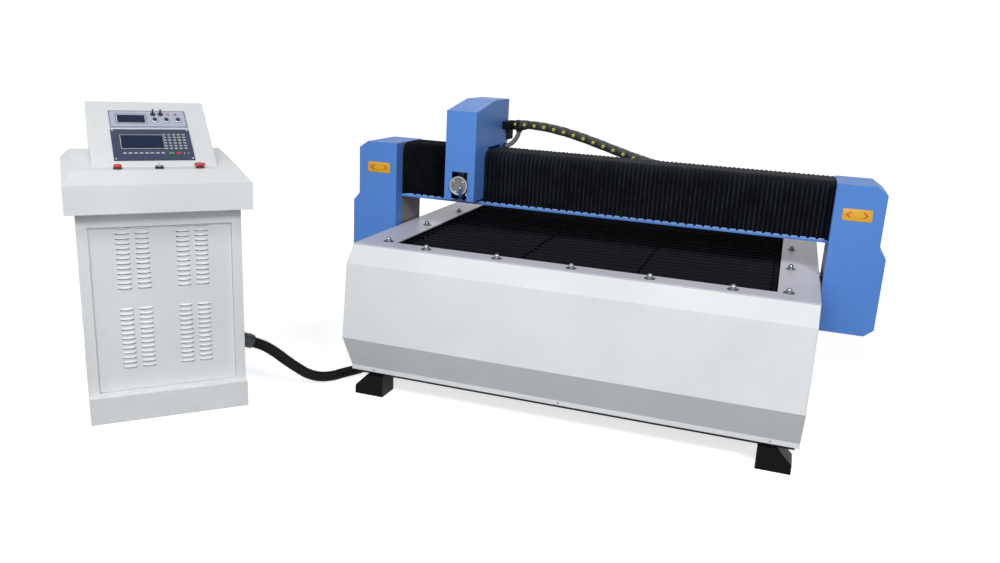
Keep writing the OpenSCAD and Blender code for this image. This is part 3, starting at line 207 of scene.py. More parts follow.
# powder coat: orange peel, clouding, dust, rubbed edges
def powderCoat(wire, at, s):
    cloud = at.noise(scale=1.7, detail=3.0).ease(0.3, 0.7)
    peel = at.noise(scale=s["peel"], detail=1.0)
    speck = at.noise(scale=210.0, detail=2.0).ease(0.69, 0.76)
    smear = at.noise(scale=9.0, detail=6.0, rough=0.7).ease(0.5, 0.75)
    soft = wire.roundedNormal(s["edge"])
    flat = wire.add("NewGeometry", out="Normal")
    bend = wire.add("VectorMath", {"operation": "DOT_PRODUCT"}, {0: soft, 1: flat}, out="Value")
    rub = (1 - bend).ease(0.02, 0.3) * smear
    grime = (1 - at.height().ease(0.02, 0.32)) * smear
    colour = cloud.tint(shade(s["colour"], 0.95), shade(s["colour"], 1.04))
    colour = (rub * s["rub"]).tint(colour, s["bare"])
    colour = (speck * s["speck"]).tint(colour, s["dirt"])
    colour = (grime * s["grime"]).tint(colour, s["dirt"])
    rough = s["rough"] + smear * 0.10 + speck * 0.15 + (peel - 0.5) * 0.08
    return {"Base Color": colour, "Roughness": rough,
            "Normal": peel.bump(s["bump"], distance=0.001, normal=soft)}


# bare or plated metal: fine turning or brushing lines along one axis, stains
def bareMetal(wire, at, s):
    run = wire.add("Mapping", None, {"Vector": at, "Scale": s["lines"]})
    lines = run.noise(scale=1.0, detail=4.0, rough=0.65)
    stain = at.noise(scale=s["stainScale"], detail=5.0).ease(0.45, 0.7)
    colour = lines.ease(0.3, 0.7).tint(shade(s["colour"], 0.86), s["colour"])
    colour = (stain * s["stain"]).tint(colour, s["dirt"])
    return {"Base Color": colour, "Roughness": s["rough"] + lines * 0.16 + stain * 0.12 - 0.08,
            "Normal": lines.bump(s["bump"], distance=0.0006, normal=wire.roundedNormal(s["edge"]))}


# cutting slats and tray: mill scale, rust, beads of spatter, heat along the top edges
def scaleSteel(wire, at, s):
    patch = at.noise(scale=14.0, detail=6.0, rough=0.65)
    fine = at.noise(scale=220.0, detail=3.0)
    hot = at.height().ease(s["top"] - 0.012, s["top"]) * patch.ease(0.35, 0.6)
    bead = (1 - at.cells(70.0).ease(0.0, 0.22)) * patch.ease(0.5, 0.7)
    colour = fine.tint(shade(s["colour"], 0.7), shade(s["colour"], 1.4))
    colour = (patch.ease(0.54, 0.68) * s["rust"]).tint(colour, s["rustColour"])
    colour = (hot * 0.7).tint(colour, s["edgeColour"])
    return {"Base Color": colour, "Roughness": 0.5 + patch * 0.25 - hot * 0.1,
            "Normal": (fine * 0.4 + bead).bump(strength=0.5, distance=0.0012)}


# moulded plastic and rubber: fine grain, clouding, dust
def mouldedGrain(wire, at, s):
    grain = at.cells(s["grain"])
    cloud = at.noise(scale=22.0, detail=4.0)
    dust = at.noise(scale=130.0, detail=4.0, rough=0.7).ease(0.52, 0.74)
    colour = cloud.tint(shade(s["colour"], 0.88), shade(s["colour"], 1.12))
    colour = (dust * s["dust"]).tint(colour, s["dustColour"])
    return {"Base Color": colour, "Roughness": s["rough"] + (cloud - 0.5) * 0.12 + dust * 0.1,
            "Normal": grain.bump(s["bump"], distance=0.0004, normal=wire.roundedNormal(s["edge"]))}


# bellows cloth: plain weave under a dull coating, dust with a painted highlight on the ridges of the folds,
# dust with painted light on the upward faces
def pleatCloth(wire, at, s):
    fold = wire.add("Attribute", {"attribute_type": "GEOMETRY", "attribute_name": "fold"}, out="Fac")
    warp, weft = [at.bands(way, s["weave"], waver=0.4) for way in ("Z", "X")]
    worn = at.noise(scale=11.0, detail=5.0, rough=0.65)
    up = wire.add("NewGeometry", out="Normal").height()
    # dust and painted highlight: the fold ridges and the upward faces are lightened towards the dust colour
    ridgeDustAndHighlight = fold.ease(0.7, 1.0) * worn.ease(0.25, 0.7)
    settled = up.ease(0.25, 0.95) * (0.55 + worn * 0.6)
    colour = worn.ease(0.3, 0.7).tint(shade(s["colour"], 0.8), shade(s["colour"], 1.25))
    colour = (ridgeDustAndHighlight * s["dust"]).tint(colour, s["dustColour"])
    colour = (settled * s["settled"]).tint(colour, s["dustColour"])
    return {"Base Color": colour, "Roughness": 0.74 + ridgeDustAndHighlight * 0.12 - worn * 0.1,
            "Normal": (warp * 0.5 + weft * 0.5).bump(strength=0.3, distance=0.0005)}


# screens: dark layer with fine lines under polished glass, faint smears
def screenGlass(wire, at, s):
    smear = at.noise(scale=26.0, detail=5.0, rough=0.7).ease(0.45, 0.8)
    colour = (at.bands("Z", 420.0) * 0.35).tint(s["colour"], shade(s["colour"], 1.35))
    return {"Base Color": colour, "Roughness": 0.06 + smear * 0.16}


# printed film on the panels: satin, with a faint pebble and wiped marks
def printedFilm(wire, at, s):
    pebble = at.cells(s["grain"])
    wiped = at.noise(scale=17.0, detail=6.0, rough=0.7).ease(0.4, 0.8)
    return {"Base Color": wiped.tint(s["colour"], shade(s["colour"], s["wipe"])),
            "Roughness": s["rough"] + wiped * 0.12,
            "Normal": pebble.bump(strength=0.08, distance=0.0003, normal=wire.roundedNormal(s["edge"]))}


whiteLook = dict(
    colour=rgb(236, 238, 239), peel=420.0, edge=0.0025, rub=0.25, bare=rgb(250, 250, 250), speck=0.18,
    grime=0.08, dirt=rgb(150, 148, 142), rough=0.30, bump=0.05,
)
blueLook = dict(whiteLook, colour=rgb(94, 146, 226), bare=rgb(146, 184, 236), dirt=rgb(52, 84, 140),
                rough=0.42, rub=0.55, speck=0.2)
rimLook = dict(whiteLook, colour=rgb(213, 211, 221), dirt=rgb(120, 118, 116), speck=0.4, rough=0.34)
frameLook = dict(whiteLook, colour=rgb(40, 42, 47), bare=rgb(64, 66, 70), dirt=rgb(50, 47, 44), speck=0.3,
                 rough=0.42)
footLook = dict(frameLook, colour=rgb(10, 11, 13), bare=rgb(40, 40, 42), dirt=rgb(32, 31, 30))
metalLook = dict(
    colour=rgb(196, 198, 202), lines=(40.0, 40.0, 900.0), stainScale=30.0, stain=0.3,
    dirt=rgb(112, 106, 98), edge=0.0008, rough=0.24, bump=0.12,
)
clampLook = dict(metalLook, colour=rgb(122, 123, 122), lines=(300.0, 40.0, 300.0), rough=0.42, stain=0.45)
alloyLook = dict(metalLook, colour=rgb(206, 208, 212), lines=(700.0, 40.0, 40.0), rough=0.32)
scaleLook = dict(
    colour=rgb(28, 30, 35), top=0.690, rust=0.3, rustColour=rgb(34, 28, 25), edgeColour=rgb(38, 40, 45),
)
mouldLook = dict(
    colour=rgb(26, 27, 29), grain=1400.0, dust=0.10, dustColour=rgb(120, 118, 114), edge=0.0008, rough=0.42,
    bump=0.25,
)
greyLook = dict(mouldLook, colour=rgb(128, 130, 132), dust=0.25, dustColour=rgb(80, 78, 76))
# on the bellows, dust and dustColour also paint the highlight on the fold ridges and the light on the top
clothLook = dict(colour=rgb(9, 12, 19), weave=380.0, dust=0.85, settled=0.25, dustColour=rgb(50, 53, 60))
filmLook = dict(colour=rgb(62, 72, 97), grain=900.0, wipe=1.18, edge=0.0009, rough=0.34)


def shine(level):
    return {"Specular IOR Level": level}


def metal(level):
    return {"Metallic": level}


def clear(weight, rough):
    return {"Coat Weight": weight, "Coat Roughness": rough}


def variant(base, red, green, blue, **changes):
    return dict(base, colour=rgb(red, green, blue), **changes)


# name, recipe, look, and the shader's values that are the same all over
finishes = {
    "white": ("whitePowder", powderCoat, whiteLook, clear(0.12, 0.2)),
    "blue": ("bluePowder", powderCoat, blueLook, {**clear(0.02, 0.3), **shine(0.12)}),
    "rim": ("rimPowder", powderCoat, rimLook),
    "frame": ("framePaint", powderCoat, frameLook, shine(0.2)),
    "foot": ("footPaint", powderCoat, footLook, shine(0.08)),
    "plate": ("platePaint", powderCoat, variant(frameLook, 126, 122, 122, rough=0.36)),
    "lever": ("leverBlue", powderCoat, variant(blueLook, 30, 66, 146, bare=rgb(70, 110, 180))),
    # painted highlight: a lighter copy of the blue paint for the toothed strip that stands in for light on
    # the beam's flange
    "hem": ("hemBlue", powderCoat, variant(blueLook, 124, 166, 232)),
    "chrome": ("nutChrome", bareMetal, variant(metalLook, 150, 153, 156, rough=0.16, stain=0.15), metal(1.0)),
    "washer": ("washerSteel", bareMetal, variant(metalLook, 92, 95, 98, rough=0.3), metal(1.0)),
    "zinc": ("zincPlate", bareMetal, variant(metalLook, 206, 208, 210, rough=0.34, stain=0.1), metal(0.35)),
    "clamp": ("clampAlloy", bareMetal, clampLook, metal(0.45)),
    "steel": ("groundSteel", bareMetal, metalLook, metal(1.0)),
    "rack": ("oiledSteel", bareMetal, variant(metalLook, 112, 112, 114, rough=0.34, stain=0.5), metal(0.9)),
    "alloy": ("milledAlloy", bareMetal, alloyLook, metal(0.9)),
    "block": ("bearingSteel", bareMetal, variant(metalLook, 120, 124, 130, rough=0.3), metal(0.9)),
    "slat": ("slatScale", scaleSteel, scaleLook, shine(0.02)),
    "tray": ("trayScale", scaleSteel, variant(scaleLook, 12, 13, 16, edgeColour=rgb(16, 17, 20)), shine(0.0)),
    "motor": ("motorBlack", mouldedGrain, variant(mouldLook, 24, 24, 26, grain=500.0, rough=0.5)),
    "black": ("blackPlastic", mouldedGrain, mouldLook),
    "matt": ("mattBlack", mouldedGrain, variant(mouldLook, 20, 21, 23, rough=0.65), shine(0.06)),
    "hose": ("hosePlastic", mouldedGrain, variant(mouldLook, 12, 12, 14, rough=0.4, dust=0.05), shine(0.12)),
    "grey": ("greyPlastic", mouldedGrain, greyLook),
    "unit": ("unitGrey", mouldedGrain, variant(mouldLook, 140, 144, 150, grain=700.0)),
    "green": ("greenKey", mouldedGrain, variant(mouldLook, 40, 158, 96, dust=0.05, rough=0.3)),
    "red": ("redPlastic", mouldedGrain, variant(mouldLook, 206, 34, 44, dust=0.06, rough=0.26, bump=0.1)),
    "lamp": ("redLens", mouldedGrain, variant(mouldLook, 206, 62, 96, dust=0.03, rough=0.12, bump=0.05),
             {"Coat Weight": 0.6}),
    "yellow": ("yellowCap", mouldedGrain, variant(mouldLook, 196, 182, 62, dust=0.25)),
    "cloth": ("bellowsCloth", pleatCloth, clothLook,
              {"Sheen Weight": 0.02, "Sheen Roughness": 0.5, **shine(0.05)}),
    "screen": ("screenGlass", screenGlass, {"colour": rgb(20, 36, 66)}, {**clear(0.03, 0.05), **shine(0.07)}),
    "navy": ("controllerFilm", printedFilm, filmLook, shine(0.15)),
    "silver": ("heightFilm", printedFilm, variant(filmLook, 188, 194, 211, wipe=0.92)),
    "keyCaps": ("keyCapFilm", printedFilm, variant(filmLook, 72, 80, 96, wipe=0.9), shine(0.3)),
    "keys": ("keyFilm", printedFilm, variant(filmLook, 178, 182, 188, wipe=0.86)),
    "limeKeys": ("limeKeyFilm", printedFilm, variant(filmLook, 190, 198, 150, wipe=0.88)),
    "cream": ("creamInk", printedFilm, variant(filmLook, 206, 205, 190, wipe=0.94)),
    "ink": ("darkInk", printedFilm, variant(filmLook, 48, 56, 92, wipe=1.1)),
    "amber": ("amberPlate", printedFilm, variant(filmLook, 232, 172, 32, wipe=0.93)),
    "rust": ("arrowInk", printedFilm, variant(filmLook, 204, 72, 34, wipe=0.95)),
}
coats = {key: makeCoat(*row) for key, row in finishes.items()}
print("finishes made:", len(coats))

# what each node of the machine wears
coatNodes = {
    "white": "front_panel rear_panel side_panels console_plinth console_cabinet louvre_panel console_desk"
             " console_hood",
    "blue": "column_covers beam head_cover", "rim": "end_rims side_rims", "frame": "table_frame chain_tray",
    "foot": "feet", "plate": "gantry_side_plates", "chrome": "rim_nuts", "clamp": "torch_clamp",
    "steel": "side_rails beam_rails lift_screw",
    "rack": "side_racks beam_rack gantry_pinions carriage_pinion",
    "alloy": "carriage_plate lift_frame torch_slide", "block": "gantry_bearings carriage_bearings",
    "slat": "slats", "tray": "slag_tray", "motor": "drive_motors carriage_motors", "unit": "electronics",
    "black": "conduit_glands arc_toggle auto_toggle voltage_knob height_knob delay_knob switch_collars"
             " selector_knob cable_chain torch",
    "matt": "chain_bracket", "hose": "conduit_hose", "grey": "head_conduit",
    "cloth": "bellows_left bellows_right", "green": "start_key", "red": "stop_key push_button emergency_stop",
    "lamp": "status_lamps", "screen": "screens", "navy": "controller_panel", "silver": "height_panel",
    "keys": "keypad",
}
for coat, names in coatNodes.items():
    for name in names.split():
        mesh = nodes[name].data
        mesh.materials.clear()
        mesh.materials.append(coats[coat])
print("nodes coated:", sum(len(names.split()) for names in coatNodes.values()))

sunk = 0.1  # how far small parts reach into what carries them, in millimetres


# mesh helpers; every place takes millimetres
def newMeshes(count):
    return [bmesh.new() for k in range(count)]


def softenEdges(bm, edges, soft):
    bmesh.ops.bevel(bm, geom=list(edges), offset=soft * 0.001, segments=2, profile=0.5, affect="EDGES")


def skin(bm, rings):  # faces between closed rings of the same count
    for a, b in zip(rings, rings[1:]):
        for k in range(len(a)):
            n = (k + 1) % len(a)
            bm.faces.new((a[k], a[n], b[n], b[k]))


def block(bm, place, low, high, soft=0.0):
    low, high = Vector(low), Vector(high)
    size, middle = high - low, (high + low) / 2
    made = bmesh.ops.create_cube(bm, size=1, matrix=moved(place, *middle) @ Matrix.Diagonal(size.to_4d()))
    if soft:
        softenEdges(bm, dict.fromkeys(e for v in made["verts"] for e in v.link_edges), soft)


def lathe(bm, place, profile, sides, flutes=0, depth=0.0):
    rings = []
    for r, h in profile:
        ring = []
        for k in range(1 if r == 0 else sides):
            a = 2 * math.pi * k / sides
            q = r * (1 - depth * (0.5 - 0.5 * math.cos(flutes * a)))
            ring.append(bm.verts.new(place @ Vector((q * math.cos(a), q * math.sin(a), h))))
        rings.append(ring)
    for a, b in zip(rings, rings[1:]):
        for k in range(sides):
            n = (k + 1) % sides
            if len(a) == 1 and len(b) > 1:
                bm.faces.new((a[0], b[k], b[n]))
            elif len(b) == 1 and len(a) > 1:
                bm.faces.new((a[k], a[n], b[0]))
            elif len(a) > 1:
                bm.faces.new((a[k], a[n], b[n], b[k]))


def slab(bm, place, outline, low, high, soft=0.0):  # a flat outline with thickness
    lower, upper = [[bm.verts.new(place @ Vector((x, y, z))) for x, y in outline] for z in (low, high)]
    top = bm.faces.new(upper)
    bm.faces.new(lower[::-1])
    skin(bm, [lower, upper])
    if soft:
        softenEdges(bm, top.edges, soft)


def roundedBox(x0, y0, x1, y1, r, steps=5):
    outline = []
    corners = (x1 - r, y1 - r), (x0 + r, y1 - r), (x0 + r, y0 + r), (x1 - r, y0 + r)
    for quarter, (x, y) in enumerate(corners):
        for k in range(steps + 1):
            sine, cosine = sinCos(90 * quarter + 90 * k / steps)
            outline.append((x + r * cosine, y + r * sine))
    return outline


def sweep(bm, points, radii, sides):  # tube along points in metres
    rings, side = [], None
    for i, p in enumerate(points):
        way = (points[min(i + 1, len(points) - 1)] - points[max(i - 1, 0)]).normalized()
        if side is None:
            side = way.cross(Vector((0, 0, 1))) if abs(way.z) < 0.95 else way.cross(Vector((0, 1, 0)))
        side = (side - way * side.dot(way)).normalized()
        other = way.cross(side)
        ring = []
        for k in range(sides):
            a = 2 * math.pi * k / sides
            ring.append(bm.verts.new(p + radii[i] * (math.cos(a) * side + math.sin(a) * other)))
        rings.append(ring)
    skin(bm, rings)
    bm.faces.new(rings[0][::-1])
    bm.faces.new(rings[-1])


def makePiece(name, bm, coat, body, sharp=32):
    bmesh.ops.recalc_face_normals(bm, faces=bm.faces)
    mesh = bpy.data.meshes.new(name)
    bm.to_mesh(mesh)
    bm.free()
    mesh.materials.append(coats[coat])
    mesh.shade_smooth()
    mesh.set_sharp_from_angle(angle=math.radians(sharp))
    piece = bpy.data.objects.new(name, mesh)
    scene.collection.objects.link(piece)
    if body:
        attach(piece, body)
    return piece


# ribbed conduit between console and table; middle gives the points of its underside
conduit = dict(
    across=48, groove=3.4, crest=1.6, ribs=112, perRib=6, sides=18, perKnot=8, gland=46,
    outlet=(310, 80, 282), tilt=25, inlet=(-905, 500, 45), heading=60, bracket=8,
    middle=[(-1270, -185, 180), (-1240, -140, 130), (-1215, -95, 85), (-1190, -45, 42), (-1160, 10, 12),
        (-1125, 70, 0), (-1095, 130, 0), (-1060, 195, 0), (-1030, 260, 4), (-1000, 325, 11),
        (-970, 385, 18)],
)


def conduitRoute(s):
    tiltSin, tiltCos = sinCos(s["tilt"])
    turnSin, turnCos = sinCos(s["heading"])
    away, into = Vector((tiltCos, 0, -tiltSin)), Vector((turnCos, turnSin, 0))
    out, back = s["gland"], s["gland"] + s["bracket"] / 2
    knots = [consoleMm @ (Vector(s["outlet"]) + d * away) for d in (out, out + s["across"])]
    knots += [tableMm @ Vector((x, y, z + s["across"] / 2)) for x, y, z in s["middle"]]
    knots += [tableMm @ (Vector(s["inlet"]) - d * into) for d in (back + s["across"], back)]
    route, last = [], len(knots) - 1
    for i in range(last):
        a, b = knots[i], knots[i + 1]
        for k in range(s["perKnot"]):
            f = k / s["perKnot"]
            if i in (0, last - 1):  # straight in the glands
                route.append(a + (b - a) * f)
                continue
            m, n = (b - knots[i - 1]) / 2, (knots[i + 2] - a) / 2
            route.append(a * (2 * f ** 3 - 3 * f ** 2 + 1) + m * (f ** 3 - 2 * f ** 2 + f)
                         + b * (3 * f ** 2 - 2 * f ** 3) + n * (f ** 3 - f ** 2))
    return route + [knots[-1]]


def alongRoute(route, count):  # even steps along a route
    steps = [0.0]
    for a, b in zip(route, route[1:]):
        steps.append(steps[-1] + (b - a).length)
    points, i = [], 0
    for k in range(count + 1):
        want = steps[-1] * k / count
        while i < len(route) - 2 and steps[i + 1] < want:
            i += 1
        points.append(route[i].lerp(route[i + 1], (want - steps[i]) / (steps[i + 1] - steps[i])))
    return points, steps[-1]


def makeConduit(s):
    route = conduitRoute(s)
    count = s["ribs"] * s["perRib"]
    points, length = alongRoute(route, count)
    radii = []
    for k in range(count + 1):
        dip = (0.5 + 0.5 * math.cos(2 * math.pi * k / s["perRib"])) ** s["crest"]
        radii.append(s["across"] / 2000 - s["groove"] / 1000 * dip)
    bm = bmesh.new()
    sweep(bm, points, radii, s["sides"])
    hose = makePiece("consoleConduit", bm, "hose", "table", sharp=60)
    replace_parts(hose, "conduit_hose")
    print("conduit laid, %.3f m" % length)


makeConduit(conduit)


# nuts of the conduit's glands; profiles here and below are pairs of radius and height
glandNut = dict(
    ring=[(24.6, 0), (31.5, 0), (33, 2), (33, 14), (31.5, 16), (24.6, 16)], seats=(16, 4),
    cap=[(24.6, 26), (29, 26), (31, 28), (31, 40), (28, 45), (24.6, 46)], flutes=(20, 0.035),
)


def makeGlandNuts(s):
    bm = bmesh.new()
    consoleSide = moved(consoleMm, *conduit["outlet"]) @ turned(90 + conduit["tilt"], "Y")
    tableSide = moved(tableMm, *conduit["inlet"]) @ turned(conduit["heading"], "Z") @ turned(-90, "Y")
    for place, seat in zip((consoleSide, tableSide), s["seats"]):
        lathe(bm, moved(place, z=seat), s["ring"], 6)
        lathe(bm, place, s["cap"], 60, *s["flutes"])
    makePiece("glandNuts", bm, "black", "table")


makeGlandNuts(glandNut)


# pleated bellows on both sides of the torch head; fold gives place in a pleat and share of its depth
bellows = dict(
    front=66, back=282, bottom=848, top=1099, backEdge=1050, shoulder=56, rear=14, left=(-989.5, -716),
    right=(-568, 989.5), middle=(170, 970), travel=1.285, pleats=78, depth=10, topDepth=4.5, cloth=1.2,
    lean=0.07, slack=1.6, hemLift=1.5, ripple=0.9, rippleAlong=1.9, rippleUp=0.45, wallSteps=8, bendSteps=8,
    flatSteps=6, rearSteps=4,
    fold=((0.0, 1.0), (0.1, 0.86), (0.3, 0.34), (0.42, 0.07), (0.5, 0.0), (0.58, 0.07), (0.7, 0.34),
        (0.9, 0.86)),
)


def bellowsLine(s):  # y, z from the front hem over the top to the back edge
    rise = s["top"] - s["shoulder"] - s["bottom"]
    line = [(s["front"], s["bottom"] + rise * k / s["wallSteps"]) for k in range(s["wallSteps"])]
    for k in range(s["bendSteps"] + 1):
        sine, cosine = sinCos(90 * k / s["bendSteps"])
        line.append((s["front"] + s["shoulder"] * (1 - cosine), s["top"] - s["shoulder"] * (1 - sine)))
    start, flat = s["front"] + s["shoulder"], s["back"] - s["rear"] - s["front"] - s["shoulder"]
    line += [(start + flat * k / s["flatSteps"], s["top"]) for k in range(1, s["flatSteps"])]
    for k in range(s["rearSteps"] + 1):
        sine, cosine = sinCos(90 * k / s["rearSteps"])
        line.append((s["back"] - s["rear"] * (1 - sine), s["top"] - s["rear"] * (1 - cosine)))
    return line + [(s["back"], s["backEdge"])]


def makeBellows(name, node, span, s, seed):
    luck = random.Random(seed)
    line = bellowsLine(s)
    normals = []
    for i in range(len(line)):
        a, b = line[max(i - 1, 0)], line[min(i + 1, len(line) - 1)]
        along = Vector((b[0] - a[0], b[1] - a[1])).normalized()
        normals.append(Vector((-along.y, along.x)))
    pitch = (span[1] - span[0]) / s["pleats"]
    stations = []
    for k in range(s["pleats"]):
        lean, slack = luck.uniform(-s["lean"], s["lean"]), luck.uniform(0, s["slack"])
        for t, d in s["fold"]:
            middle = 1 - abs(2 * t - 1)
            stations.append((span[0] + pitch * (k + t + lean * middle), d, slack * middle, k + t))
    stations.append((span[1], 1.0, 0.0, s["pleats"]))
    bm = bmesh.new()
    fold = bm.verts.layers.float.new("fold")
    rings = []
    for x, d, slack, phase in stations:
        outer, inner = [], []
        for i, ((y, z), n) in enumerate(zip(line, normals)):
            wave = 0.5 + 0.5 * math.sin(phase * s["rippleAlong"] + i * s["rippleUp"] + seed)
            below = max(0.0, min(1.0, (s["top"] - z) / (2 * s["shoulder"])))
            depth = s["topDepth"] + (s["depth"] - s["topDepth"]) * below
            inset = depth * d + slack * depth / s["depth"] + s["ripple"] * wave * (1 - d)
            lift = s["hemLift"] * d if i == 0 else 0
            for ring, extra in ((outer, 0), (inner, s["cloth"])):
                spot = Vector((x, y - n.x * (inset + extra), z - n.y * (inset + extra) + lift))
                v = bm.verts.new(gantryMm @ spot)
                v[fold] = 1 - d
                ring.append(v)
        rings.append(outer + inner[::-1])
    skin(bm, rings)
    size = len(rings[0])
    for ring in (rings[0], rings[-1]):
        for k in range(size // 2 - 1):
            bm.faces.new((ring[k], ring[k + 1], ring[size - 2 - k], ring[size - 1 - k]))
    piece = makePiece(name, bm, "cloth", None, sharp=50)
    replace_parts(piece, node)
    return piece


leftBellows = makeBellows("bellowsLeft", "bellows_left", bellows["left"], bellows, seed=3)
rightBellows = makeBellows("bellowsRight", "bellows_right", bellows["right"], bellows, seed=7)
leftSpan, rightSpan = [[gantryMm @ Vector((x, *bellows["middle"])) for x in bellows[side]]
                       for side in ("left", "right")]
rightLength = (rightSpan[1] - rightSpan[0]).length
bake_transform(leftBellows)
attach(rightBellows, "gantry")
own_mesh(rightBellows)
print("bellows folded:", 2 * bellows["pleats"], "pleats")


# cable chain from the head to the tray behind the beam; waist, bar and latch are shares of a link's length
chain = dict(
    links=18, startX=-538.5, endX=380, high=1198, low=1036, y=441, height=38, width=56, wall=4, gap=0.5,
    waist=(0.3, 0.7), waistHigh=0.62, rib=1.2, bar=(0.34, 0.66), latch=(0.42, 0.58), latchDeep=9,
    latchOut=0.4, latchProud=0.6, sides=28, collar=[(10.9, 0), (10.7, 0.9), (9.1, 1.1), (9.1, 0)],
    cap=[(8.5, 0), (8.5, 1.0), (7.65, 1.6), (3.4, 2.0), (0, 2.1)],
)


def chainPlaces(s):
    points = []
    for i in range(s["links"] + 1):
        fall = max(0, i - 1) / (s["links"] - 1)
        points.append(Vector((s["startX"] + (s["endX"] - s["startX"]) * i / s["links"], s["y"],
                              s["low"] + (s["high"] - s["low"]) * (0.5 + 0.5 * math.cos(math.pi * fall)))))
    return points


def chainLink(links, caps, place, length, outer, s):
    r, wall = s["height"] / 2, s["wall"]
    half = s["width"] / 2 - (0 if outer else wall + s["gap"])
    ends = [(x, sinCos(first + 15 * k)) for x, first in ((0, 180), (length, 0)) for k in range(13)]
    outline = [(x + r * sine, r * cosine) for x, (sine, cosine) in ends]
    waistX, barX, latchX = [[length * share for share in s[key]] for key in ("waist", "bar", "latch")]
    waist = roundedBox(waistX[0], -r * s["waistHigh"], waistX[1], r * s["waistHigh"], 3, 3)
    for low, ribLow in ((half - wall, half), (-half, -half - s["rib"])):  # side plates, each with its rib
        slab(links, place @ facing, outline[::-1], low, low + wall, soft=0.8)
        slab(links, place @ facing, waist, ribLow, ribLow + s["rib"], soft=0.4)
    for z in (-r, r - wall):
        block(links, place, (barX[0], -half, z), (barX[1], half, z + wall), soft=0.9)
        z += math.copysign(s["latchProud"], z)
        low, high = (latchX[0], -half - s["latchOut"], z), (latchX[1], s["latchDeep"] - half, z + wall)
        block(links, place, low, high, soft=0.6)
    for x in (0, length) if outer else ():
        button = moved(place, x, -half) @ facing
        lathe(links, button, s["collar"], s["sides"])
        lathe(caps, button, s["cap"], s["sides"])


def makeChain(s):
    points = chainPlaces(s)
    links, caps = newMeshes(2)
    for i in range(s["links"]):
        way = points[i + 1] - points[i]
        place = moved(gantryMm, *points[i]) @ Matrix.Rotation(-math.atan2(way.z, way.x), 4, "Y")
        chainLink(links, caps, place, way.length, i % 2 == 0, s)
    body = makePiece("cableChain", links, "black", None)
    dots = makePiece("chainCaps", caps, "yellow", None)
    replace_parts(body, "cable_chain")
    ends = [tuple(gantryMm @ p) for p in (points[0], points[-1])]
    for piece in (body, dots):
        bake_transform(piece)
    print("chain linked:", s["links"], "links")


makeChain(chain)


# grey conduit from the chain's bracket to the head, a quarter turn beside the head's cover
headConduit = dict(
    r=12, ribs=34, perRib=4, groove=0.16, sides=16, side=73.5, reach=60, startY=400, endY=350,
    startZ=1172.7, endZ=1092, nutHigh=10, nut=[(12.2, 0), (15, 0), (16, 1), (16, 9), (15, 10), (12.2, 10)],
)


def makeHeadConduit(s):
    count = s["ribs"] * s["perRib"]
    points, radii = [], []
    for k in range(count + 1):
        t = k / count
        points.append(headMm @ Vector((s["side"] + s["reach"] * math.cos(math.pi / 2 * t),
                                       s["startY"] + (s["endY"] - s["startY"]) * t * t * (3 - 2 * t),
                                       s["startZ"] + (s["endZ"] - s["startZ"]) * math.sin(math.pi / 2 * t))))
        crest = 0.5 - 0.5 * math.cos(2 * math.pi * k / s["perRib"])
        radii.append(s["r"] / 1000 * (1 - s["groove"] + s["groove"] * crest))
    bm, nuts = newMeshes(2)
    sweep(bm, points, radii, s["sides"])
    hose = makePiece("headConduit", bm, "grey", "carriage", sharp=60)
    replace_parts(hose, "head_conduit")
    lathe(nuts, moved(headMm, s["side"] + s["reach"], s["startY"], s["startZ"] - s["nutHigh"]), s["nut"], 6)
    lathe(nuts, moved(headMm, s["side"], s["endY"], s["endZ"]) @ turned(90, "Y"), s["nut"], 6)
    makePiece("headConduitNuts", nuts, "black", "carriage")


makeHeadConduit(headConduit)


# pressed hoods over the console's air slots; blocks and step are shares of the panel's height
louvres = dict(
    x=(-148, -75, 78, 151), rows=13, height=686, bottom=121, brim=1.5, blocks=(0.143, 0.633), step=0.0299,
    face=47.2, wide=52, rise=5.0, above=8.5, below=0.8, across=14, down=6, lip=1.1, tuck=0.4,
)


def pressLouvre(bm, x, z, s):
    across, down, brim = s["across"], s["down"], s["bottom"] + s["height"] - s["brim"]
    grid = []
    for j in range(down + 2):
        v = min(j / down, 1)
        line = []
        for i in range(across + 1):
            u = 2 * i / across - 1
            out = s["rise"] * math.sqrt(max(0, 1 - abs(u) ** 3)) * math.sin(math.pi / 2 * v) ** 0.8
            if j > down:
                out = max(out - s["lip"], -s["tuck"])  # rolled lip
            drop = s["above"] - (s["above"] + s["below"]) * v * (0.75 + 0.25 * math.sqrt(max(0, 1 - u * u)))
            spot = Vector((x + s["wide"] / 2 * u, s["face"] - out, min(z + drop, brim)))
            line.append(bm.verts.new(consoleMm @ spot))
        grid.append(line)
    for a, b in zip(grid, grid[1:]):
        for i in range(across):
            bm.faces.new((a[i], a[i + 1], b[i + 1], b[i]))


def makeLouvres(s):
    bm = bmesh.new()
    for x in s["x"]:
        for share in s["blocks"]:
            for row in range(s["rows"]):
                pressLouvre(bm, x, s["bottom"] + s["height"] * (share + s["step"] * row), s)
    makePiece("airLouvres", bm, "white", "table", sharp=50)
    print("louvres pressed:", len(s["x"]) * len(s["blocks"]) * s["rows"])


makeLouvres(louvres)


# keys of the controller: a block beside the screen, part of one column lime, and a row of soft keys under it
keys = dict(
    base=57, proud=5, left=43, low=66, columns=5, rows=6, size=(15, 13), step=(19, 19), rise=1.8,
    limeColumn=3, limeRow=2, softLeft=-117, softLow=36, softs=8, softStep=20.5, corner=2.2, round=0.9,
    edge=(1.6, 2.0), softEdge=(0.9, 1.2), patchCorner=1.6, patchRise=0.35, patchRound=0.25,
)


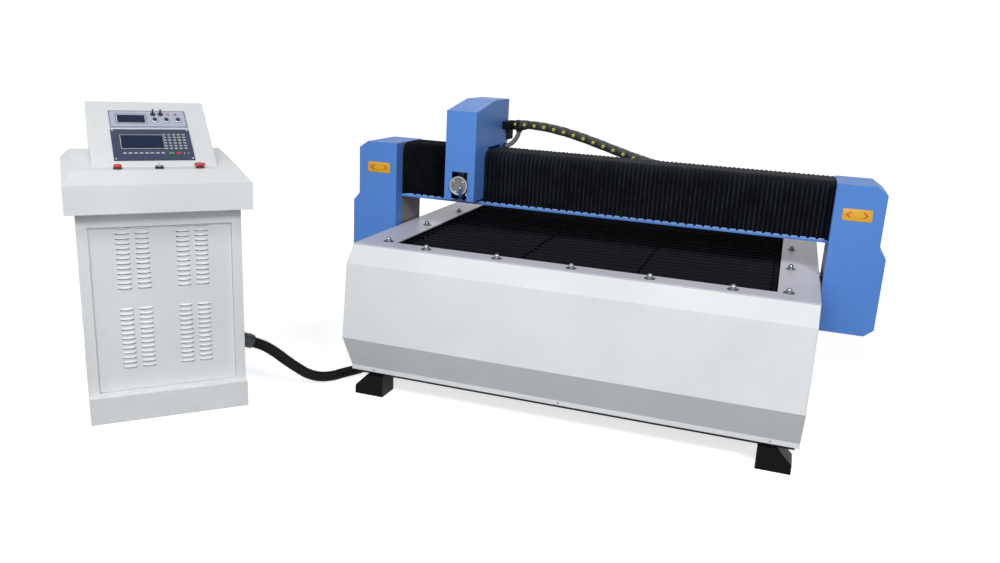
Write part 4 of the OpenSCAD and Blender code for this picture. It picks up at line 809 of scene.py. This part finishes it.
def makeKeys(s):
    plain, lime, caps = newMeshes(3)
    w, h = s["size"]
    top = s["proud"] + s["rise"]
    spots = [(s["left"] + s["step"][0] * i, s["low"] + s["step"][1] * j,
              lime if i == s["limeColumn"] and j >= s["limeRow"] else plain, s["edge"])
             for i in range(s["columns"]) for j in range(s["rows"])]
    spots += [(s["softLeft"] + s["softStep"] * i, s["softLow"], plain, s["softEdge"])
              for i in range(s["softs"])]
    for x, y, kind, (inX, inY) in spots:
        y += s["base"]
        cap = roundedBox(x, y, x + w, y + h, s["corner"], 4)
        patch = roundedBox(x + inX, y + inY, x + w - inX, y + h - inY, s["patchCorner"], 3)
        slab(caps, faceMm, cap, s["proud"] - sunk, top, s["round"])
        slab(kind, faceMm, patch, top - sunk, top + s["patchRise"], s["patchRound"])
    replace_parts(makePiece("controllerKeys", caps, "keyCaps", "table"), "keypad")
    makePiece("keyPatches", plain, "keys", "table")
    makePiece("limePatches", lime, "limeKeys", "table")
    print("keys placed:", len(spots))


makeKeys(keys)


# frames, borders, screws and small lights on the two panels; boxes are x0, y0, x1, y1 on the console's face
panels = dict(
    proud=5, screen=(-115, 136, 40, 221), masks=((-132, 135, -118, 229), (-118, 224, 43, 229)),
    maskRise=0.15, smallScreen=(-119, 313, -13, 367), controller=(-153, 57, 153, 265),
    height=(-153, 280, 153, 400), corner=3, screwIn=8, screwRise=0.55,
    strips=(("cream", "screen", 5.5, 2.2, 0.7), ("pale", "smallScreen", 4, 3.2, 0.9),
        ("dark", "height", -2.5, 2.2, 0.25), ("dark", "smallScreen", 8, 2.0, 0.25)),
    controllerScrew=4.2, heightScrew=3.2, leds=((116, 99), (132, 99)),
    led=[(2.8, 0), (2.8, 0.8), (2.2, 1.0), (2.0, 1.6), (1.1, 2.2), (0, 2.4)],
)
# a screw's head, in shares of its radius and rise
screwShape = [(1, 0), (1, 0.35), (0.86, 0.8), (0.5, 1), (0.42, 1), (0.36, 0.45), (0, 0.45)]


def ringStrip(bm, place, box, out, width, low, high, r):
    x0, y0, x1, y1 = box
    lines = [roundedBox(x0 - d, y0 - d, x1 + d, y1 + d, corner)
             for d, corner in ((out, r), (out - width, max(r - width, 0.4)))]
    skin(bm, [[bm.verts.new(place @ Vector((x, y, z))) for x, y in lines[k]]
              for k, z in ((0, low), (0, high), (1, high), (1, low))])


def screwHead(bm, place, r, rise):
    lathe(bm, place, [(r * a, rise * b) for a, b in screwShape], 18)


def makePanelTrim(s):
    top = s["proud"]
    cream, pale, dark, metalBits, mask = newMeshes(5)
    inks = {"cream": cream, "pale": pale, "dark": dark}
    for x0, y0, x1, y1 in s["masks"]:
        slab(mask, faceMm, [(x0, y0), (x1, y0), (x1, y1), (x0, y1)], top - sunk, top + s["maskRise"])
    for ink, box, out, width, rise in s["strips"]:
        ringStrip(inks[ink], faceMm, s[box], out, width, top - sunk, top + rise, s["corner"])
    for panel, bm in (("controller", metalBits), ("height", pale)):
        (x0, y0, x1, y1), r = s[panel], s[panel + "Screw"]
        for x in (x0 + s["screwIn"], x1 - s["screwIn"]):
            for y in (y0 + s["screwIn"], y1 - s["screwIn"]):
                screwHead(bm, moved(faceMm, x, y, top - sunk), r, r * s["screwRise"])
    for x, y in s["leds"]:
        lathe(metalBits, moved(faceMm, x, y, top - sunk), s["led"], 18)
    makePiece("screenFrames", cream, "cream", "table")
    makePiece("heightTrim", pale, "silver", "table")
    makePiece("screenMask", mask, "navy", "table")
    makePiece("panelBorder", dark, "ink", "table")
    makePiece("panelScrews", metalBits, "zinc", "table")


makePanelTrim(panels)


# three knobs with their scales, bases of the toggles, nuts of the lamps
knobs = dict(
    x=(26, 72, 118), v=326, proud=5, names=("voltage_knob", "height_knob", "delay_knob"),
    profile=[(3, -7), (3, 0.6), (8.2, 0.6), (8.2, 4.6), (8.4, 5.2), (8.1, 12.4), (7.4, 13.4), (0, 13.4)],
    skirt=[(8.1, 0.6), (12.2, 0.6), (12.6, 1.2), (12.1, 3.6), (10.2, 5.2), (8.2, 5.5)],
    cap=[(7.4, 13.0), (7.0, 13.7), (6.2, 13.8), (0, 13.5)], pointer=((-0.6, 8.4, 5.0), (0.6, 10.0, 5.6)),
    ticks=11, firstTick=140, tickStep=28, tickHalf=0.35, tickFrom=13.2, tickTo=(16.8, 15.6), tickRise=0.22,
    toggles=(22, 52), lamps=(82, 112), toggleV=371,
    base=[(6.6, 5.6), (6.6, 6.3), (8.8, 6.3), (9.9, 5.4), (10.4, 2.2), (10.6, 0), (8.1, 0)],
    nut=[(5.1, 0), (7.2, 0), (7.2, 1.4), (6.4, 2.4), (5.1, 2.6)],
)


def makeKnobs(s):
    ticks, nuts, bases = newMeshes(3)
    for x, node in zip(s["x"], s["names"]):
        place = moved(faceMm, x, s["v"], s["proud"])
        name = node.split("_")[0] + "Knob"
        bm, skirt, mark = newMeshes(3)
        lathe(bm, place, s["profile"], 72, flutes=18, depth=0.05)
        lathe(skirt, place, s["skirt"], 60, flutes=30, depth=0.03)
        lathe(mark, place, s["cap"], 36)
        block(mark, place, *s["pointer"], soft=0.15)
        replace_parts(makePiece(name, bm, "black", node), node)
        makePiece(name + "Cap", skirt, "zinc", node)
        makePiece(name + "Mark", mark, "ink", node)
        for k in range(s["ticks"]):
            reach = s["tickTo"][1 if k % 5 else 0]
            block(ticks, place @ turned(s["firstTick"] - s["tickStep"] * k, "Z"),
                  (-s["tickHalf"], s["tickFrom"], -sunk), (s["tickHalf"], reach, s["tickRise"]))
    makePiece("knobScales", ticks, "ink", "table")
    for x in s["toggles"]:
        lathe(bases, moved(faceMm, x, s["toggleV"], s["proud"]), s["base"], 48, flutes=24, depth=0.02)
    makePiece("toggleBases", bases, "black", "table")
    for x in s["lamps"]:
        lathe(nuts, moved(faceMm, x, s["toggleV"], s["proud"]), s["nut"], 32)
    makePiece("panelNuts", nuts, "chrome", "table")


makeKnobs(knobs)


# push button, selector and mushroom stop, heights from the ledge
switches = dict(
    x=(-145, 8, 162),
    ring=[(10.6, 4.8), (13.4, 5.2), (14.4, 5.5), (16.3, 4.7), (17.2, 2.8), (17.6, 0.6), (17.6, 0.0),
        (15.0, 0.0)],
    button=[(10, -15), (10, 8.6), (14.7, 8.6), (15.4, 9.2), (15.4, 15.0), (14.7, 16.4), (12.8, 17.0),
        (0, 16.8)],
    selector=[(10, -15), (10, 5.6), (13.6, 5.6), (13.6, 8.0), (12.4, 9.6), (0, 9.6)],
    grip=(-4.2, -14.1, 4.2, 14.1, 3.8, 6), gripLow=9.4, gripHigh=16, gripRound=1.4,
    collar=[(13.4, 5.8), (15.6, 5.8), (15.9, 6.6), (15.6, 9.2), (14.4, 10.2), (10.4, 10.4), (10.4, 9.5)],
    mark=((-0.8, 3, 15.9), (0.8, 13, 16.25)),
    mushroom=[(10, -15), (10, 8.6), (12, 8.6), (18.8, 10.5), (20.8, 12.1), (21.5, 13.8), (21.3, 16.6),
        (20.0, 18.5), (17.2, 19.9), (12, 21.0), (6, 21.5), (0, 21.6)],
)


def makeSwitches(s):
    spots = [moved(ledgeMm, x) for x in s["x"]]
    rings, button, grip, mark, collar, mushroom = newMeshes(6)
    for place in spots:
        lathe(rings, place, s["ring"], 60, flutes=30, depth=0.02)
    makePiece("switchRings", rings, "black", "table")
    lathe(button, spots[0], s["button"], 48)
    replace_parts(makePiece("redButton", button, "red", "push_button"), "push_button")
    lathe(grip, spots[1], s["selector"], 48)
    slab(grip, spots[1], roundedBox(*s["grip"]), s["gripLow"], s["gripHigh"], s["gripRound"])
    lathe(collar, spots[1], s["collar"], 48)
    block(mark, spots[1], *s["mark"], soft=0.2)
    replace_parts(makePiece("selectorGrip", grip, "zinc", "selector_knob"), "selector_knob")
    makePiece("selectorRing", collar, "black", "selector_knob")
    makePiece("selectorMark", mark, "ink", "selector_knob")
    lathe(mushroom, spots[2], s["mushroom"], 60)
    stop = makePiece("redMushroom", mushroom, "red", "emergency_stop", sharp=50)
    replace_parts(stop, "emergency_stop")


makeSwitches(switches)


# plates with travel arrows on the columns
axisPlates = dict(
    x=(-1083, 1083), z=977, size=(116, 50), corner=5, rise=1.2, round=0.4, pin=(2.4, 1.2), pinIn=6,
    arrow=[(46, 0), (24, 15), (24, 9), (37, 0), (24, -9), (24, -15)], arrowRise=0.15,
)


def makeAxisPlates(s):
    plate, arrows, pins = newMeshes(3)
    w, h = s["size"][0] / 2, s["size"][1] / 2
    top = s["rise"]
    for x in s["x"]:
        place = moved(gantryMm, x, 0, s["z"]) @ facing
        slab(plate, place, roundedBox(-w, -h, w, h, s["corner"]), -sunk, top, s["round"])
        for side in (-1, 1):
            arrow = [(side * across, up) for across, up in s["arrow"]]
            slab(arrows, place, arrow[::side], top - sunk, top + s["arrowRise"])
            for up in (h - s["pinIn"], s["pinIn"] - h):
                screwHead(pins, moved(place, side * (w - s["pinIn"]), up, top - sunk), *s["pin"])
    makePiece("axisPlates", plate, "amber", "gantry")
    makePiece("axisArrows", arrows, "rust", "gantry")
    makePiece("axisPins", pins, "chrome", "gantry")


makeAxisPlates(axisPlates)


# fixing screws, as radius and rise, and where they sit
screws = dict(
    cover=(5, 2.4), head=(4, 2), nose=(3.4, 1.8), endX=(-865, 0, 865), endY=(-11, 3211), endZ=127,
    sideX=975, sideY=(120, 370, 9), sideZ=(462, 136), columnX=1188, columnY=(22, 264), columnZ=1040,
    backX=(1010, 1165), backY=286, backZ=(500, 660, 780, 880, 1040), headX=73.5,
    headSpots=((12, 900), (12, 1010), (330, 1150), (330, 1260)), noseX=56, noseSpot=(-55, 884),
)


def makeScrews(s):
    table, gantry, head = newMeshes(3)
    backward = facing.inverted()
    for x in s["endX"]:
        for y, way in zip(s["endY"], (facing, backward)):
            screwHead(table, moved(tableMm, x, y, s["endZ"]) @ way, *s["cover"])
    first, step, count = s["sideY"]
    for side in (-1, 1):
        out = turned(90 * side, "Y")
        for k in range(count):
            for z in s["sideZ"]:
                screwHead(table, moved(tableMm, side * s["sideX"], first + step * k, z) @ out, *s["cover"])
        for y in s["columnY"]:
            screwHead(gantry, moved(gantryMm, side * s["columnX"], y, s["columnZ"]) @ out, *s["cover"])
        for z in s["backZ"]:
            for x in s["backX"]:
                screwHead(gantry, moved(gantryMm, side * x, s["backY"], z) @ backward, *s["cover"])
        for y, z in s["headSpots"]:
            screwHead(head, moved(headMm, side * s["headX"], y, z) @ out, *s["head"])
        screwHead(head, moved(headMm, side * s["noseX"], *s["noseSpot"]) @ facing, *s["nose"])
    makePiece("panelFixings", table, "chrome", "table")
    makePiece("columnFixings", gantry, "chrome", "gantry")
    makePiece("headFixings", head, "rack", "carriage")


makeScrews(screws)


# raised rim, bolts and lever on the torch clamp's round face
clampFace = dict(
    y=-68, z=938, rim=[(38, -0.1), (40, 1.0), (42.5, 0.8), (43, -0.1)], boltReach=30.4,
    boltTurns=(42, 138, 245), bolt=[(5, 0), (5, 2.6), (4.4, 3.2), (2.6, 3.2), (2.6, 1.6), (0, 1.6)],
    pivot=(12, -8), hub=[(9.5, 0), (9.5, 3.8), (8.5, 5.2), (6.2, 5.4)], arm=(5, -52, 19, -6, 5), armLow=2.0,
    armHigh=5.0, armRound=0.8, nut=[(6.2, 4.6), (6.2, 7.4), (5.4, 8.2), (0, 8.2)],
)


def makeClampFace(s):
    metalBits, lever = newMeshes(2)
    place = moved(headMm, 0, s["y"], s["z"]) @ facing
    pivot = moved(place, *s["pivot"], -sunk)
    lathe(metalBits, place, s["rim"], 60)
    for angle in s["boltTurns"]:
        sine, cosine = sinCos(angle)
        lathe(metalBits, moved(place, s["boltReach"] * cosine, s["boltReach"] * sine, -sunk), s["bolt"], 18)
    lathe(lever, pivot, s["hub"], 30)
    slab(lever, place, roundedBox(*s["arm"]), s["armLow"], s["armHigh"], s["armRound"])
    lathe(metalBits, pivot, s["nut"], 6)
    makePiece("clampBolts", metalBits, "zinc", "torch_lifter")
    makePiece("clampLever", lever, "lever", "torch_lifter")


makeClampFace(clampFace)


# washers under the rim nuts, a toothed strip of lighter blue along the beam's flange as painted light for the
# lit patches between the pleats' shadows, anchor of the chain and lip on the head
smallParts = dict(
    rim=703, ends=5, endStep=325, endY=(48.5, 3151.5), sides=8, sideX=858, sideFirst=106, sideStep=2988 / 7,
    washer=[(8, 0), (22.4, 0), (23, 0.5), (22.6, 1.6), (8, 1.9)],
    # painted light: lighter blue teeth for the lit patches of the flange between the pleats' shadows
    hem=dict(y=60, x=985, low=844.5, base=849.5, tooth=855.5, step=36.5, thick=1.4,
        teeth=((0.0, "base"), (0.24, "base"), (0.3, "tooth"), (0.94, "tooth"))),
    anchor=((73.5, 306, 1179.5), (101, 428, 1216.5)), lip=((-71.5, 396, 1052), (71.5, 400.5, 1082)),
)


def paintedFlangeLightOutline(s):
    outline = [(-s["x"], s["low"]), (s["x"], s["low"])]
    x = s["x"]
    while x > s["step"] - s["x"] - 1:
        outline += [(x - s["step"] * share, s[level]) for share, level in s["teeth"]]
        x -= s["step"]
    return outline + [(-s["x"], s["base"])]


def makeSmallParts(s):
    discs, strip, anchor, lip = newMeshes(4)
    spots = [(s["endStep"] * (i - s["ends"] // 2), y) for i in range(s["ends"]) for y in s["endY"]]
    spots += [(side * s["sideX"], s["sideFirst"] + s["sideStep"] * i)
              for i in range(s["sides"]) for side in (-1, 1)]
    for x, y in spots:
        lathe(discs, moved(tableMm, x, y, s["rim"]), s["washer"], 40)
    slab(strip, moved(gantryMm, 0, s["hem"]["y"], 0) @ facing, paintedFlangeLightOutline(s["hem"]), 0.0, s["hem"]["thick"])
    block(anchor, headMm, *s["anchor"], soft=3)
    block(lip, headMm, *s["lip"], soft=1)
    makePiece("rimWashers", discs, "washer", "table")
    makePiece("paintedFlangeLightTeeth", strip, "hem", "gantry")
    makePiece("chainAnchor", anchor, "matt", "carriage")
    makePiece("headLip", lip, "blue", "carriage")


makeSmallParts(smallParts)
print("details placed")


# floor, sky and lamps; a lamp has its place, what it looks at, size and power
machineMiddle = (0.2, -0.8, 0.6)
stage = dict(
    size=60.0, drop=0.0005, floor=(0.9, 0.9, 0.9, 1), bounce=(0.26, 0.26, 0.27, 1), lift=(0.72, 0.97),
    middle=(0.2, -1.0, 0.0), near=2.5, far=6.5, sky=(0.82, 0.91, 1.0, 1), skyPower=0.15,
    lamps=dict(sideLamp=((-2.6, -5.4, 4.4), machineMiddle, 1.6, 54),
        keyLamp=((3.2, -5.0, 4.0), machineMiddle, 1.2, 134),
        frontLamp=((0.5, -6.5, 3.0), machineMiddle, 1.6, 40),
        topLamp=((0.0, -5.4, 5.2), machineMiddle, 1.6, 88),
        backLamp=((-1.6, 5.6, 5.2), (0.4, 0.6, 0.6), 2.4, 36)),
)


def seenRays(wire):  # 1 for what the camera, mirrors and glass look at
    names = ("Is Camera Ray", "Is Glossy Ray", "Is Transmission Ray")
    camera, glossy, through = [wire.add("LightPath", out=name) for name in names]
    return (camera + glossy + through).ease(0.0, 1.0)


def makeFloor(s):
    half = s["size"] / 2
    mesh = bpy.data.meshes.new("floor")
    corners = [(-half, -half, 0), (half, -half, 0), (half, half, 0), (-half, half, 0)]
    mesh.from_pydata(corners, [], [(0, 1, 2, 3)])
    floor = bpy.data.objects.new("floor", mesh)
    floor.location = (0, 0, -s["drop"])
    scene.collection.objects.link(floor)
    coat = bpy.data.materials.new("floorWhite")
    wire = emptyTree(coat)
    pale = wire.add("BsdfDiffuse", None, {"Color": s["floor"]})
    at = wire.add("TexCoord", out="Object")
    reach = wire.add("VectorMath", {"operation": "DISTANCE"}, {0: at, 1: s["middle"]}, out="Value")
    glow = reach.ease(s["near"], s["far"]).tint(*[(v, v, v, 1) for v in s["lift"]])
    lift = wire.add("Emission", None, {"Color": glow, "Strength": 1.0})
    lit = wire.add("AddShader", None, {0: pale, 1: lift})
    dull = wire.add("BsdfDiffuse", None, {"Color": s["bounce"]})
    shown = wire.add("MixShader", None, {0: seenRays(wire), 1: dull, 2: lit})
    wire.add("OutputMaterial", None, {"Surface": shown})
    mesh.materials.append(coat)


def makeSky(s):
    scene.world = bpy.data.worlds.new("studio")
    wire = emptyTree(scene.world)
    plain = wire.add("Background", None, {"Color": s["sky"], "Strength": s["skyPower"]})
    white = wire.add("Background", None, {"Color": (1, 1, 1, 1), "Strength": 1.0})
    mixed = wire.add("MixShader", None, {0: seenRays(wire), 1: plain, 2: white})
    wire.add("OutputWorld", None, {"Surface": mixed})


def makeLamps(s):
    for name, (place, aim, size, power) in s["lamps"].items():
        lamp = bpy.data.lights.new(name, "AREA")
        lamp.energy, lamp.size, lamp.shape = power, size, "SQUARE"
        bulb = bpy.data.objects.new(name, lamp)
        bulb.location = place
        bulb.rotation_euler = (Vector(aim) - Vector(place)).to_track_quat("-Z", "Y").to_euler()
        scene.collection.objects.link(bulb)


makeFloor(stage)
makeSky(stage)
makeLamps(stage)
print("stage lit")
